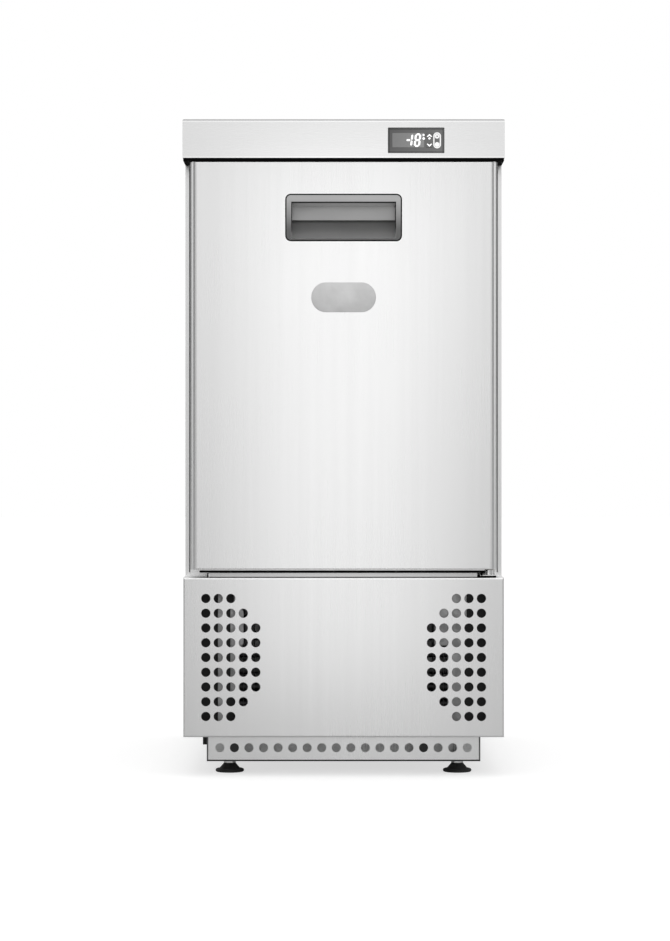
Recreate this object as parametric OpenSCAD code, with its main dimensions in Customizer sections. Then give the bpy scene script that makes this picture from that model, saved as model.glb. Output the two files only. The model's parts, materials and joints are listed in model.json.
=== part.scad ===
// Slim undercounter freezer: a worktop, an insulated cabinet with one hinged door, and a machine
// compartment under it. Millimetres; X runs across, the front looks along -Y, Z is up from the floor.

/* [Cabinet] */
// Width over the worktop
body_w = 400; // [390:5:480]
// Depth from the front panel to the back of the worktop
body_d = 600; // [580:10:700]
// Height from the floor to the top of the worktop
body_h = 816; // [800:2:900]
// Height of the worktop's edge
worktop_h = 48; // [44:1:56]
// Thickness of the steel sheet
sheet_t = 1; // [0.8:0.1:1.2]
// Bend radius on the worktop and front panel
bend_r = 2; // [1.5:0.25:3]
// Side panels' inset from the worktop's edge
side_inset = 0.5; // [0.5:0.5:2]
// Back panel's inset from the worktop's back edge
rear_inset = 4; // [3.5:0.5:8]
// Thickness of the foam walls
foam_t = 44; // [38:1:46]
// Thickness of the inner liner
liner_t = 1.2; // [0.8:0.1:2]
// Width of the front stiles and rails
stile_w = 30; // [28:1:32]
// Width of the flanges at the back
rear_flange = 15; // [12:1:20]

/* [Front panel and base] */
// Underside of the base plate over the floor
base_z = 49; // [47:1:56]
// Thickness of the base plate
base_t = 1.5; // [1.2:0.1:2]
// Height of the perforated panel
panel_h = 198; // [196:1:220]
// Depth of the panel's folded edges
panel_fold = 12; // [10:1:16]
// Diameter of the panel's holes
vent_d = 11.5; // [8:0.5:12]
// Sideways pitch of the panel's holes
vent_pitch_x = 15.5; // [14:0.5:17]
// Upright pitch of the panel's holes
vent_pitch_z = 18.3; // [16:0.1:20]
// Rows of holes
vent_rows = 9; // [7:2:9]
// Columns of holes in the longest row on each side
vent_cols = 5; // [4:1:5]
// Outer column of holes from the cabinet's side
vent_edge = 29; // [25:1:34]
// Plinth's inset from the cabinet's sides
plinth_inset = 30; // [28:1:40]
// Plinth's setback behind the front panel
plinth_back = 30; // [24:1:40]
// Plinth's underside over the floor
plinth_gap = 17.5; // [17:0.5:19]
// Depth of the plinth channels
plinth_d = 70; // [64:1:80]
// Diameter of the plinth's holes
plinth_hole_d = 11.3; // [8:0.1:13]
// Pitch of the plinth's holes
plinth_pitch = 18.2; // [16:0.1:22]
// Least distance from the end of the plinth to a hole
plinth_end = 15; // [12:1:18]

/* [Feet] */
// Foot centres from the cabinet's sides
foot_inset = 56.5; // [54:0.5:62]
// Diameter of a foot's pad
pad_d = 36; // [30:1:40]
// Height of a foot's pad
pad_h = 11.5; // [10:0.5:12]
// Diameter of a foot's stud
stud_d = 10; // [8:1:10]
// Width across the flats of the stud's hexagon
stud_hex = 13; // [12:0.5:14]
// Length of stud above the hexagon
stud_len = 27; // [24:1:28]
// Height of the nut welded in the channel
nut_h = 8; // [7:0.5:9]

/* [Door] */
// Thickness of the door
door_t = 54; // [50:1:58]
// Door's setback behind the worktop's front
door_setback = 1; // [1:0.5:2]
// Door's edge from the side panel's face
door_side = 8.5; // [8:0.5:10]
// Gap between the door and the worktop
door_gap_top = 4.5; // [4.5:0.1:6]
// Gap between the door and the front panel's top
door_gap_low = 10; // [9.5:0.1:12]
// Radius of the door's upright front edges
door_r = 9; // [6:0.5:12]
// Radius of the door's top and bottom front edges
door_edge_r = 1.5; // [1:0.25:2]
// Width of the door pan's rear flange
door_flange = 12; // [11:0.5:13]
// Gap between the door's back and the cabinet's front
gasket_gap = 9; // [8.5:0.5:10]
// Width of the gasket
gasket_w = 20; // [18:1:20]
// Height of the raised ring on the door liner
dyke_h = 20; // [14:1:22]
// Clearance from that ring to the cabinet's liner
dyke_gap = 7.3; // [7:0.1:9]
// Hinge axis from the door's edge
hinge_in = 9.5; // [9.5:0.5:11]
// Diameter of the hinge pins
hinge_pin_d = 8; // [7:0.5:9]
// Thickness of the hinge brackets
bracket_t = 3; // [2.5:0.1:3]
// Length of a hinge bush inside the door
bush_len = 21; // [18:1:24]

/* [Handle] */
// Width of the recessed handle
handle_w = 145; // [130:1:160]
// Height of the recessed handle
handle_h = 59; // [55:1:66]
// Centre of the handle below the door's top
handle_drop = 69.5; // [60:0.5:80]
// Depth of the handle's recess
handle_d = 30; // [26:1:32]
// Corner radius of the handle
handle_r = 7; // [5:0.5:9]
// Width of the handle's side rims
handle_side = 7.5; // [6:0.5:9]
// Height of the handle's top rim
handle_lip = 9.8; // [8:0.2:11]
// Wall of the handle
handle_t = 2; // [1.6:0.1:2.4]

/* [Controls] */
// Width of the display window
display_w = 70; // [68:1:76]
// Height of the display window
display_h = 31.6; // [30:0.2:34]
// Display's right edge from the worktop's right edge
display_edge = 75; // [60:1:90]
// Arrow keys' centre from the display's middle
arrow_out = 16.5; // [15:0.5:17]
// Round keys' centre from the display's right edge
round_in = 9; // [8.5:0.5:10]
// Thickness of the display lens
lens_t = 3; // [2.5:0.1:3.5]
// Depth of the controller housing
controller_d = 44; // [36:1:50]
// Width of the arrow keys
arrow_w = 8; // [7:0.5:9]
// Height of the arrow keys
arrow_h = 5; // [4:0.5:6.5]
// Diameter of the round keys
round_key_d = 5.6; // [5:0.2:6]
// Travel of a key
key_travel = 1; // [0.6:0.1:1.4]

/* [Machine compartment] */
// Condenser's fins from the cabinet's sides
cond_side = 71.5; // [68:0.5:80]
// Depth of the condenser's fins
cond_d = 50; // [48:1:56]
// Pitch of the condenser's fins
cond_fin_pitch = 6.4; // [6:0.2:9]
// Upright pitch of the condenser's tubes
cond_tube_pitch = 21; // [20:0.5:23]
// Diameter of the condenser's tube
tube_d = 9.5; // [8:0.5:9.5]
// Width of the condenser frame's front flanges
cond_flange = 24; // [20:1:26]
// Tip diameter of the condenser fan
cond_fan_d = 150; // [130:2:154]
// Diameter of the fan motors
motor_d = 62; // [56:1:66]
// Gap between the vaporiser tray and the cabinet's floor
tray_gap = 11.5; // [8:0.5:20]
// Height of the vaporiser tray
tray_h = 16; // [12:1:18]
// Diameter of the compressor's rounded ends
comp_d = 150; // [136:1:156]
// Straight stretch between those ends
comp_mid = 24; // [16:1:30]
// Compressor's centre from the right side panel's inner face
comp_side = 130.5; // [128:0.5:140]
// Height of the rubber mounts
mount_h = 8; // [7:0.5:9]

/* [Storage space] */
// Depth of the space behind the evaporator cover
plenum_d = 99; // [95:1:110]
// Tip diameter of the evaporator fan
evap_fan_d = 118; // [100:2:120]
// Evaporator's fins from the liner's sides
evap_side = 35.3; // [34:0.1:50]
// Evaporator fan's tips below the liner's top
evap_fan_drop = 48; // [30:1:60]
// Diameter of the shelves' frame rod
rod_d = 6; // [5:0.5:7]
// Diameter of the shelves' wires
wire_d = 3.5; // [3:0.25:4]
// Spacing of the shelves' wires
wire_pitch = 22; // [20:1:28]
// Pitch of the slots in the racking
slot_pitch = 25; // [22:1:30]
// Slot that carries the lower shelf
lower_slot = 4; // [3:1:5]
// Slot that carries the upper shelf
upper_slot = 10; // [9:1:11]

/* [Hidden] */
$fn = 48;

// Small allowances shared by the fits
fit = 0.3;
close_fit = 0.1;
past = 1;
hair = 0.01;

// Planes of the cabinet
half_w = body_w / 2;
front_y = -body_d / 2;
back_y = body_d / 2;
top_z = body_h - worktop_h;
side_x = half_w - side_inset;
shell_x = side_x - sheet_t;
rear_y = back_y - rear_inset;
rear_in = rear_y - 2 * sheet_t;
panel_top = base_z + panel_h;
base_top = base_z + base_t;
nose_y = front_y + panel_fold;
door_front = front_y + door_setback;
door_back = door_front + door_t;
cab_front = door_back + gasket_gap;
frame_x = side_x - stile_w;

// Storage space inside the liner
foam_x = shell_x;
foam_low = panel_top + sheet_t;
foam_high = top_z - sheet_t;
liner_out_x = foam_x - foam_t;
liner_x = liner_out_x - liner_t;
liner_low = foam_low + foam_t + liner_t;
liner_high = foam_high - foam_t - liner_t;
liner_back = rear_in - foam_t - liner_t;
breaker_t = 6;
cover_y = liner_back - plenum_d;

// Door
door_x = side_x - door_side;
door_low = panel_top + door_gap_low;
door_high = top_z - door_gap_top;
door_h = door_high - door_low;
door_mid = (door_low + door_high) / 2;
hinge_x = door_x - hinge_in;
hinge_y = (door_front + door_back) / 2;
dl_x = door_x - door_flange;
dl_h = door_h - 2 * door_flange;

// Door liner: u runs in from its edge
dl_t = 2;
dl_corner = 1.8;
dl_run = 5;
groove_u = [6, 11];
groove_d = 6;
dyke_slope = 6;
dyke_top = 12;
dyke_u = dyke_gap + max(dl_x - liner_x, liner_low - door_low - door_flange,
    door_high - door_flange - liner_high);
dyke_end = dyke_u + 2 * dyke_slope + dyke_top;
handle_z = door_high - handle_drop;

// Controls
display_x = half_w - display_edge - display_w / 2;
display_drop = 2.3;
display_z = top_z + worktop_h / 2 - display_drop;
lens_set = 0.6;
key_set = 0.1;
lens_y = front_y + lens_set;
key_y = front_y + key_set;
arrow_x = display_x + arrow_out;
round_x = display_x + display_w / 2 - round_in;
arrow_dz = 6.3;
round_dz = 5.1;
key_flange = 1;
key_stem = 1.2;
key_rim = 0.8;
key_r = 1;
housing_side = 3;

// Condenser and its fan
cond_w = 2 * (side_x - cond_side);
cond_set = 10;
cond_rise = 6;
cond_room = 30;
cond_inset = 12;
cond_gap = 2;
cond_over = 4;
cond_front = nose_y + cond_set;
cond_back = cond_front + cond_d;
cond_low = base_top + cond_rise;
cond_rows = 2 * floor((panel_h - cond_room) / cond_tube_pitch / 2);
cond_h = cond_rows * cond_tube_pitch;
cond_y = [cond_front + cond_inset, cond_back - cond_inset];
cond_plate_x = cond_w / 2 + cond_gap;
cond_plate_t = 1.2;
cond_bend = 6;
cond_fan_z = cond_low + cond_h / 2;
fin_t = 0.5;
fan_gap = 3;
fan_ring_t = 1.5;
fan_y = cond_back + 5;
fan_depth = 20;
fan_motor_gap = 4;
fan_motor_len = 40;
fan_arm_w = 10;
fan_arm_t = 3;
arm_root = 2;
shaft_d = 6;

// Fan hubs and blades
fan_blades = 5;
cond_hub = 24;
evap_hub = 20;
hub_wall = 3;
hub_floor = 4;
blade_t = 1.5;
blade_bow = 70;
blade_steps = 8;
blade_root = 0.6;
blade_edge = 0.6;
blade_reach = 1.9;

// Compressor, its mounts, its terminal box and the vaporiser tray
comp_foot = 3;
comp_back = 176;
comp_x = shell_x - comp_side;
comp_y = rear_y - comp_back;
comp_low = base_top + mount_h + comp_foot;
comp_top = panel_top - tray_gap - tray_h;
comp_h = comp_top - comp_low;
comp_end = comp_mid / 2 + comp_d / 2;
comp_seam_z = 82;
comp_seam_t = 5;
comp_dome = 34;
seam_out = 2;
mount_d = 22;
mount_in_x = 16;
mount_in_y = 12;
mount_stem = 12;
mount_cap = 16;
mount_dx = comp_end - mount_in_x;
mount_dy = comp_d / 2 - mount_in_y;
box_w = 60;
box_h = 62;
box_t = 24;
box_r = 6;
tray_t = 1.5;
tray_left = 3;
tray_right = 9;
tray_front = 13;
tray_past = 24;

// Pipes
discharge_d = 6;
suction_d = 8;
liquid_d = 4;
drier_d = 19;
drier_l = 90;
drier_taper = 8;
pipe_r = 9;
liquid_r = 5;
run_gap = 44;
run_step = 20;
left_run = -(cond_plate_x + run_gap);
suction_in = 11;
suction_x = -liner_x + suction_in;
discharge_up = 30;
suction_up = 100;
drier_back = 90;

// Evaporator
evap_w = 2 * (liner_x - evap_side);
evap_fan_z = liner_high - evap_fan_drop - evap_fan_d / 2;
evap_rise = 46;
evap_clear = 20;
evap_low = liner_low + evap_rise;
evap_pitch = 24;
evap_rows = 2 * floor((evap_fan_z - evap_fan_d / 2 - evap_clear - evap_low) / evap_pitch / 2);
evap_h = evap_rows * evap_pitch;
evap_tube_gap = 26;
evap_wall_gap = 32;
evap_margin = 14;
evap_y = [liner_back - evap_wall_gap - evap_tube_gap, liner_back - evap_wall_gap];
evap_front = evap_y[0] - evap_margin;
evap_back = evap_y[1] + evap_margin;
evap_fin_pitch = 10;
evap_plate_t = 1.2;
evap_plate_gap = 2;
evap_plate_over = 6;
evap_bend = 8;

// Evaporator cover and its fan
cover_gap = 0.5;
cover_low = liner_low + 14;
cover_high = liner_high - 2;
guard_rings = 5;
guard_gap = 4;
guard_wire = 2.5;
guard_hub = 8;
guard_spoke = 3;
return_n = 5;
return_pitch = 24;
return_w = 7;
return_h = 36;
return_up = 30;
evap_fan_set = 8;
evap_fan_y = cover_y + evap_fan_set;
evap_fan_depth = 16;
evap_motor_gap = 3;
evap_motor_len = 30;
evap_arm_w = 8;
evap_arm_t = 2.5;
evap_arm_out = 4.5;

// Drain
drain_in = 34;
drain_back = 45;
drain_x = comp_x - drain_in;
drain_y = liner_back - drain_back;
tray_x = [comp_x - comp_end + tray_left, comp_x + comp_end - tray_right];
tray_y = [comp_y - comp_d / 2 + tray_front, drain_y + tray_past];
drain_d = 14;
drain_wall = 1.5;
drain_over = 4;
pan_rise = 6;
pan_floor = 2;
pan_h = 18;
pan_front = 8;
pan_side = 2;
pan_foot = [10, 50];
pan_foot_x = 90;

// Racking and shelves
rack_t = 6;
rack_w = 16;
rack_end = 20;
rack_low = liner_low + rack_end;
rack_high = liner_high - rack_end;
rack_front = 60;
rack_back = 40;
rack_y = [cab_front + rack_front, cover_y - rack_back];
slot_first = 18;
slot_last = 18;
slot_size = [6, 4];
clip_w = 5;
clip_t = 1.5;
clip_drop = 6;
clip_rest = 2;
clip_hook = [3, 3.2];
shelf_gap = 3.5;
shelf_x = liner_x - rack_t - shelf_gap;
shelf_front = 32;
shelf_back = 8;
shelf_y = [cab_front + shelf_front, cover_y - shelf_back];
shelf_bend = 8;
weld = 0.5;

function slot_z(n) = rack_low + slot_first + n * slot_pitch;

// Back of the machine compartment
slot_l = 60;
slot_w = 6;
slot_step = 16;
slot_gap = 24;
slot_shift = 20;
slot_low = 34;
grille_room = 60;
grille_rows = floor((panel_h - grille_room) / slot_step);
gland_side = 45;
gland_up = 40;
gland_x = -shell_x + gland_side;
gland_z = base_top + gland_up;
gland_d = 20;
gland_bore = 9;
gland_flange = 28;
gland_nut = 26;
gland_in = 14;
gland_seat = 5;
gland_out = 3;
gland_wall = 4;

// Front, sill and base
panel_side = 0.5;
sill_rise = 4.4;
sill_gap = 1.5;
breaker_r = 4;
plug_side = 26;
plug_back = 105;
plug_x = -(half_w - plug_side);
plug_y = front_y + plug_back;
plug_d = 12;
plug_neck = 8;
plug_h = 8.6;
plug_cap = 2;
base_slot = [8, 50];
base_slot_pitch = 40;
base_slot_n = 3;
base_slot_back = 130;

// Plinth channels and feet
plinth_x = half_w - plinth_inset;
foot_x = half_w - foot_inset;
channel_t = 1.2;
nut_wall = 4;
plinth_y = front_y + plinth_back;
plinth_n = floor(2 * (plinth_x - plinth_end) / plinth_pitch) + 1;
plinth_z = (plinth_gap + base_z) / 2;
inspect_d = 18;
inspect_at = [1, plinth_n - 4];
rear_channel_y = back_y - plinth_back - plinth_d;
foot_y = [plinth_y + plinth_d / 2, rear_channel_y + plinth_d / 2];
stud_seat = 4;
pad_rim = 2.2;
pad_neck = 1.5;
pad_edge = 1;
pad_slope = 4.1;

// Hinges
bracket_in = 11.5;
bracket_out = 9;
bracket_y = [door_front + 10, cab_front - 1];
pin_len = bush_len - 3;
collar_d = 13.6;
bush_wall = 3;
bush_lip = 1.5;
bush_flange = 1;
bush_d = hinge_pin_d + 2 * bush_wall;

// Handle and gasket
handle_low = 2.5;
bezel_edge = 0.3;
bezel_steps = 4;
lip_d = 5;
lip_rise = 6;
lip_bend = 4.5;
back_in = 8;
back_foot = -1;
foot_rise = -6;
slope_d = [12, 4];
slope_up = [7, 1.5];
gasket_base = 1.2;
gasket_skirt = 2;
gasket_waist = 4.5;
waist_h = 3.65;
dart = 1;
magnet_in = 1.5;
magnet_h = 3.3;
chamber = [7.2, 2.3];
chamber_base = 1.4;

// Reach of the wedges that mitre a ring's corners
ring_reach = 50;

// Rounded plates and folded boxes

module rounded(w, h, r) {
  square([w - 2 * r, h], center = true);
  square([w, h - 2 * r], center = true);
  for (i = [-1, 1], j = [-1, 1]) translate([i * (w / 2 - r), j * (h / 2 - r)]) circle(r);
}

// Rectangle standing on the axis with its two upper corners rounded
module round_top(w, h, r) {
  translate([-w / 2, 0]) square([w, h - r]);
  translate([-w / 2 + r, h - r - past]) square([w - 2 * r, r + past]);
  for (i = [-1, 1]) translate([i * (w / 2 - r), h - r]) circle(r);
}

// A block standing on the floor plane with rounded top edges
module round_block(w, d, h, r) {
  intersection() {
    rotate([90, 0, 0]) linear_extrude(d, center = true) round_top(w, h, r);
    rotate([90, 0, 90]) linear_extrude(w, center = true) round_top(d, h, r);
  }
}

// A block with its back on the plane y = 0 and its rounded face towards the front
module front_block(w, h, t, side_r, end_r) {
  rotate([90, 0, 0]) intersection() {
    rotate([90, 0, 0]) linear_extrude(h, center = true) round_top(w, t, side_r);
    rotate([90, 0, 90]) linear_extrude(w, center = true) round_top(h, t, end_r);
  }
}

module upright(y, t) translate([0, y + t, 0]) rotate([90, 0, 0]) linear_extrude(t) children();

module across(x, t) translate([x, 0, 0]) rotate([90, 0, 90]) linear_extrude(t) children();

module drill_y(x, z, d, y1, y2)
  translate([x, y1, z]) rotate([-90, 0, 0]) cylinder(d = d, h = y2 - y1);

// Rectangular ring with mitred corners: the profile's x runs inwards, its y stands up from the plane
module mitred_ring(w, h, depth) {
  for (side = [[w, h, 0], [h, w, 90], [w, h, 180], [h, w, 270]]) rotate(side[2]) intersection() {
    translate([-side[0] / 2, -side[1] / 2, 0]) rotate([90, 0, 90]) linear_extrude(side[0]) children();
    translate([0, 0, -ring_reach]) linear_extrude(2 * ring_reach) polygon([[-side[0] / 2, -side[1] / 2],
      [side[0] / 2, -side[1] / 2], [side[0] / 2 - depth, -side[1] / 2 + depth],
      [-side[0] / 2 + depth, -side[1] / 2 + depth]]);
  }
}

// Places a ring made flat on the door's back plane, with its height towards the cabinet
module on_door_back() translate([0, door_back, door_mid]) rotate([-90, 0, 0]) children();

// Tube through points that follow the axes, with a round elbow at each corner

function unit(v) = v / norm(v);

module tube_leg(a, b, d) {
  v = b - a;
  translate(a) rotate([0, acos(v[2] / norm(v)), atan2(v[1], v[0])]) cylinder(d = d, h = norm(v));
}

module elbow(corner, a, b, r, d) {
  c = corner - a * r + b * r;
  n = cross(a, b);
  multmatrix([[-b[0], a[0], n[0], c[0]], [-b[1], a[1], n[1], c[1]], [-b[2], a[2], n[2], c[2]],
    [0, 0, 0, 1]]) rotate_extrude(angle = 90) translate([r, 0]) circle(d = d);
}

module tube_run(p, r, d) {
  last = len(p) - 1;
  for (i = [0 : last - 1]) {
    v = unit(p[i + 1] - p[i]);
    tube_leg(p[i] + (i > 0 ? v * r : [0, 0, 0]), p[i + 1] - (i < last - 1 ? v * r : [0, 0, 0]), d);
    if (i > 0) elbow(p[i], unit(p[i] - p[i - 1]), v, r, d);
  }
}

// Serpentine of level tubes between x1 and x2, one above the other, starting and ending on the left
module serpentine(x1, x2, y, z, rows, pitch, d) {
  for (i = [0 : rows - 1]) translate([x1, y, z + i * pitch]) rotate([0, 90, 0]) cylinder(d = d, h = x2 - x1);
  for (i = [0 : rows - 2])
    translate([i % 2 == 0 ? x2 : x1, y, z + (i + 0.5) * pitch]) rotate([90, i % 2 == 0 ? 0 : 180, 0])
      rotate([0, 0, -90]) rotate_extrude(angle = 180) translate([pitch / 2, 0]) circle(d = d);
}

// Worktop

module worktop() color("gainsboro") translate([0, 0, top_z]) difference() {
  round_block(body_w, body_d, worktop_h, bend_r);
  translate([0, 0, sheet_t]) round_block(body_w - 2 * sheet_t, body_d - 2 * sheet_t,
    worktop_h - 2 * sheet_t, bend_r - sheet_t / 2);
  translate([-half_w + rear_flange, cab_front + rear_flange, -past])
    cube([body_w - 2 * rear_flange, back_y - cab_front - 2 * rear_flange, 2 * past + sheet_t]);
  translate([display_x, 0, display_z - top_z]) upright(front_y - past, sheet_t + 2 * past)
    rounded(display_w + 2 * close_fit, display_h + 2 * close_fit, key_r);
}

module worktop_core() color("burlywood")
  translate([-half_w + sheet_t + bend_r, cab_front + rear_flange - past, top_z + sheet_t])
    cube([body_w - 2 * (sheet_t + bend_r), back_y - cab_front - rear_flange + past - sheet_t - bend_r,
      worktop_h - 2 * sheet_t]);

// Places its children, drawn face on about the centre of a key, at each key
module key_place(x, dz) translate([x, 0, display_z + dz]) children();

module arrow_face(grow) rounded(arrow_w + 2 * grow, arrow_h + 2 * grow, key_r + grow);

module round_face(grow) circle(d = round_key_d + 2 * grow);

// A key is a cap in the lens, a wider flange behind it and a short plunger
module key_body() {
  upright(key_y, lens_y + lens_t - key_y + fit / 2) children(0);
  upright(lens_y + lens_t + fit / 2, key_flange) children(1);
  upright(lens_y + lens_t + fit / 2 + key_flange, key_stem) children(0);
}

module key_pockets(grow, y, t) {
  for (s = [-1, 1]) {
    key_place(arrow_x, s * arrow_dz) upright(y, t) arrow_face(grow);
    key_place(round_x, s * round_dz) upright(y, t) round_face(grow);
  }
}

module arrow_key(dz) key_place(arrow_x, dz) key_body() {
  arrow_face(0);
  arrow_face(key_rim);
}

module round_key(dz) key_place(round_x, dz) key_body() {
  round_face(0);
  round_face(key_rim);
}

module key_up() color("white") arrow_key(arrow_dz);

module key_down() color("white") arrow_key(-arrow_dz);

module key_info() color("white") round_key(round_dz);

module key_standby() color("white") round_key(-round_dz);

module display_lens() color("dimgray") difference() {
  translate([display_x, 0, display_z]) upright(lens_y, lens_t) rounded(display_w, display_h, key_r);
  key_pockets(close_fit * 2, lens_y - past, lens_t + 2 * past);
}

module controller_housing() color("darkslategray") {
  pocket = key_flange + key_stem + key_travel + 2 * fit;
  face_y = lens_y + lens_t;
  difference() {
    translate([display_x - display_w / 2 - housing_side, face_y, top_z + sheet_t])
      cube([display_w + 2 * housing_side, controller_d, worktop_h - 2 * sheet_t]);
    key_pockets(key_rim + fit / 2, face_y - past, pocket + past);
  }
}

// Outer casing

module side_panel() {
  across(shell_x, sheet_t) polygon([[nose_y, base_z], [rear_y, base_z], [rear_y, top_z],
    [cab_front, top_z], [cab_front, panel_top], [nose_y, panel_top]]);
  translate([frame_x, cab_front, panel_top]) cube([stile_w, sheet_t, top_z - panel_top]);
  translate([side_x - rear_flange, rear_y - sheet_t, base_z]) cube([rear_flange, sheet_t, top_z - base_z]);
  translate([side_x - panel_fold, nose_y, base_z]) cube([panel_fold, sheet_t, panel_h]);
  translate([frame_x, nose_y, panel_top - sheet_t])
    cube([stile_w, cab_front + sheet_t - nose_y, sheet_t]);
}

module right_side_panel() color("lightgray") side_panel();

module left_side_panel() color("lightgray") mirror([1, 0, 0]) side_panel();

module back_panel() color("silver") translate([-shell_x, rear_in, panel_top])
  cube([2 * shell_x, sheet_t, top_z - panel_top]);

module rear_grille() color("silver") difference() {
  translate([-shell_x, rear_in, base_top]) cube([2 * shell_x, sheet_t, panel_top - base_top]);
  for (i = [-1 : 1], j = [0 : grille_rows - 1])
    translate([i * (slot_l + slot_gap) + slot_shift, 0, base_top + slot_low + j * slot_step])
      upright(rear_in - past, sheet_t + 2 * past) rounded(slot_l, slot_w, slot_w / 2 - hair);
  drill_y(gland_x, gland_z, gland_d + 2 * close_fit, rear_in - past, rear_in + sheet_t + past);
}

module mains_gland() color("black") difference() {
  union() {
    drill_y(gland_x, gland_z, gland_d, rear_in - gland_in, rear_in + sheet_t);
    drill_y(gland_x, gland_z, gland_flange, rear_in - gland_seat, rear_in);
    translate([gland_x, rear_in + sheet_t, gland_z]) rotate([-90, 0, 0])
      cylinder(d = gland_nut, h = gland_out, $fn = 6);
  }
  drill_y(gland_x, gland_z, gland_bore, rear_in - gland_in + gland_wall,
    rear_in + sheet_t + gland_out + past);
}

module cabinet_top() color("silver") {
  translate([-shell_x, cab_front + sheet_t, top_z - sheet_t])
    cube([2 * shell_x, rear_in - cab_front - sheet_t, sheet_t]);
  translate([-frame_x, cab_front, top_z - stile_w]) cube([2 * frame_x, sheet_t, stile_w]);
}

// Plate under the foam, its upright front rail, and the raised sill strip in front of it
module cabinet_floor() color("silver") {
  sill_x = frame_x - sill_gap;
  difference() {
    translate([-shell_x, cab_front + sheet_t, panel_top])
      cube([2 * shell_x, rear_in - cab_front - sheet_t, sheet_t]);
    floor_holes(close_fit);
  }
  translate([-frame_x, cab_front, panel_top]) cube([2 * frame_x, sheet_t, stile_w]);
  translate([-sill_x, nose_y + sheet_t, panel_top + sill_rise - sheet_t])
    cube([2 * sill_x, cab_front - nose_y - sheet_t, sheet_t]);
  translate([-sill_x, nose_y, panel_top]) cube([2 * sill_x, sheet_t, sill_rise]);
}

// Passages through the cabinet's floor for the drain and the suction and liquid pipes
module floor_holes(grow) {
  for (p = [[drain_x, drain_y, drain_d], [suction_x, evap_y[0], suction_d],
      [suction_x, evap_y[1], liquid_d]])
    translate([p[0], p[1], panel_top - past])
      cylinder(d = p[2] + 2 * grow, h = liner_low - panel_top + 2 * past);
}

module cabinet_foam() color("khaki") difference() {
  translate([-foam_x, cab_front + sheet_t, foam_low])
    cube([2 * foam_x, rear_in - cab_front - sheet_t, foam_high - foam_low]);
  translate([-liner_out_x, cab_front, liner_low - liner_t])
    cube([2 * liner_out_x, liner_back + liner_t - cab_front, liner_high - liner_low + 2 * liner_t]);
  translate([-frame_x, cab_front, panel_top + stile_w])
    cube([2 * frame_x, breaker_t, top_z - panel_top - 2 * stile_w]);
  floor_holes(close_fit);
}

module inner_liner() color("whitesmoke") difference() {
  translate([-liner_out_x, cab_front + breaker_t, liner_low - liner_t])
    cube([2 * liner_out_x, liner_back + liner_t - cab_front - breaker_t,
      liner_high - liner_low + 2 * liner_t]);
  translate([-liner_x, cab_front, liner_low])
    cube([2 * liner_x, liner_back - cab_front, liner_high - liner_low]);
  floor_holes(close_fit);
}

// Plastic frame between the liner and the steel front, rounded into the opening
module breaker_frame() color("lightgray") {
  low = panel_top + stile_w;
  high = top_z - stile_w;
  translate([0, cab_front + breaker_t, 0]) rotate([90, 0, 0]) linear_extrude(breaker_t) difference() {
    translate([-frame_x, low]) square([2 * frame_x, high - low]);
    translate([0, (liner_low + liner_high) / 2]) rounded(2 * liner_x, liner_high - liner_low, breaker_r);
  }
}

// Perforated front panel

function vent_count(i) = min(vent_cols, vent_cols - 2 + min(i, vent_rows - 1 - i));

module lower_panel() color("gainsboro") difference() {
  w = 2 * (side_x - panel_side);
  translate([0, nose_y, base_z + panel_h / 2]) difference() {
    front_block(w, panel_h, panel_fold, bend_r, bend_r);
    translate([0, past, 0]) front_block(w - 2 * sheet_t, panel_h - 2 * sheet_t,
      panel_fold - sheet_t + past, bend_r - sheet_t / 2, bend_r - sheet_t / 2);
  }
  for (side = [-1, 1], i = [0 : vent_rows - 1], j = [0 : vent_count(i) - 1])
    drill_y(side * (half_w - vent_edge - j * vent_pitch_x),
      base_z + panel_h / 2 + ((vent_rows - 1) / 2 - i) * vent_pitch_z, vent_d, front_y - past,
      front_y + sheet_t + past);
}

// Base

module base_plate() color("silver") difference() {
  translate([-shell_x, nose_y + sheet_t, base_z]) cube([2 * shell_x, rear_in - nose_y, base_t]);
  translate([plug_x, plug_y, base_z - past]) cylinder(d = plug_neck + 2 * close_fit, h = base_t + 2 * past);
  for (i = [-base_slot_n : base_slot_n])
    translate([i * base_slot_pitch, front_y + base_slot_back, base_z - past])
      linear_extrude(base_t + 2 * past) rounded(base_slot[0], base_slot[1], base_slot[0] / 2 - hair);
}

module drain_plug() color("black") translate([plug_x, plug_y, 0]) {
  translate([0, 0, base_z - plug_h]) cylinder(d = plug_d, h = plug_h);
  translate([0, 0, base_z]) cylinder(d = plug_neck, h = base_t);
  translate([0, 0, base_top]) cylinder(d = plug_d, h = plug_cap);
}

// Open channel under the base plate with two welded nuts for the feet
module channel(y) {
  h = base_z - plinth_gap;
  difference() {
    translate([-plinth_x, y, plinth_gap]) cube([2 * plinth_x, plinth_d, h]);
    translate([-plinth_x - past, y + channel_t, plinth_gap + channel_t])
      cube([2 * (plinth_x + past), plinth_d - 2 * channel_t, h]);
    for (s = [-1, 1]) translate([s * foot_x, y + plinth_d / 2, plinth_gap - past])
      cylinder(d = stud_d + 2 * fit, h = channel_t + 2 * past);
  }
  for (s = [-1, 1]) translate([s * foot_x, y + plinth_d / 2, plinth_gap + channel_t]) difference() {
    cylinder(d = stud_d + 2 * nut_wall, h = nut_h, $fn = 6);
    translate([0, 0, -past]) cylinder(d = stud_d + 2 * fit, h = nut_h + 2 * past);
  }
}

module plinth() color("silver") difference() {
  channel(plinth_y);
  for (i = [0 : plinth_n - 1])
    drill_y((i - (plinth_n - 1) / 2) * plinth_pitch, plinth_z, plinth_hole_d, plinth_y - past,
      plinth_y + channel_t + past);
  for (i = inspect_at)
    drill_y((i - (plinth_n - 1) / 2) * plinth_pitch, plinth_z, inspect_d,
      plinth_y + plinth_d - 2 * channel_t,
      plinth_y + plinth_d + past);
}

module rear_channel() color("silver") channel(rear_channel_y);

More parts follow.
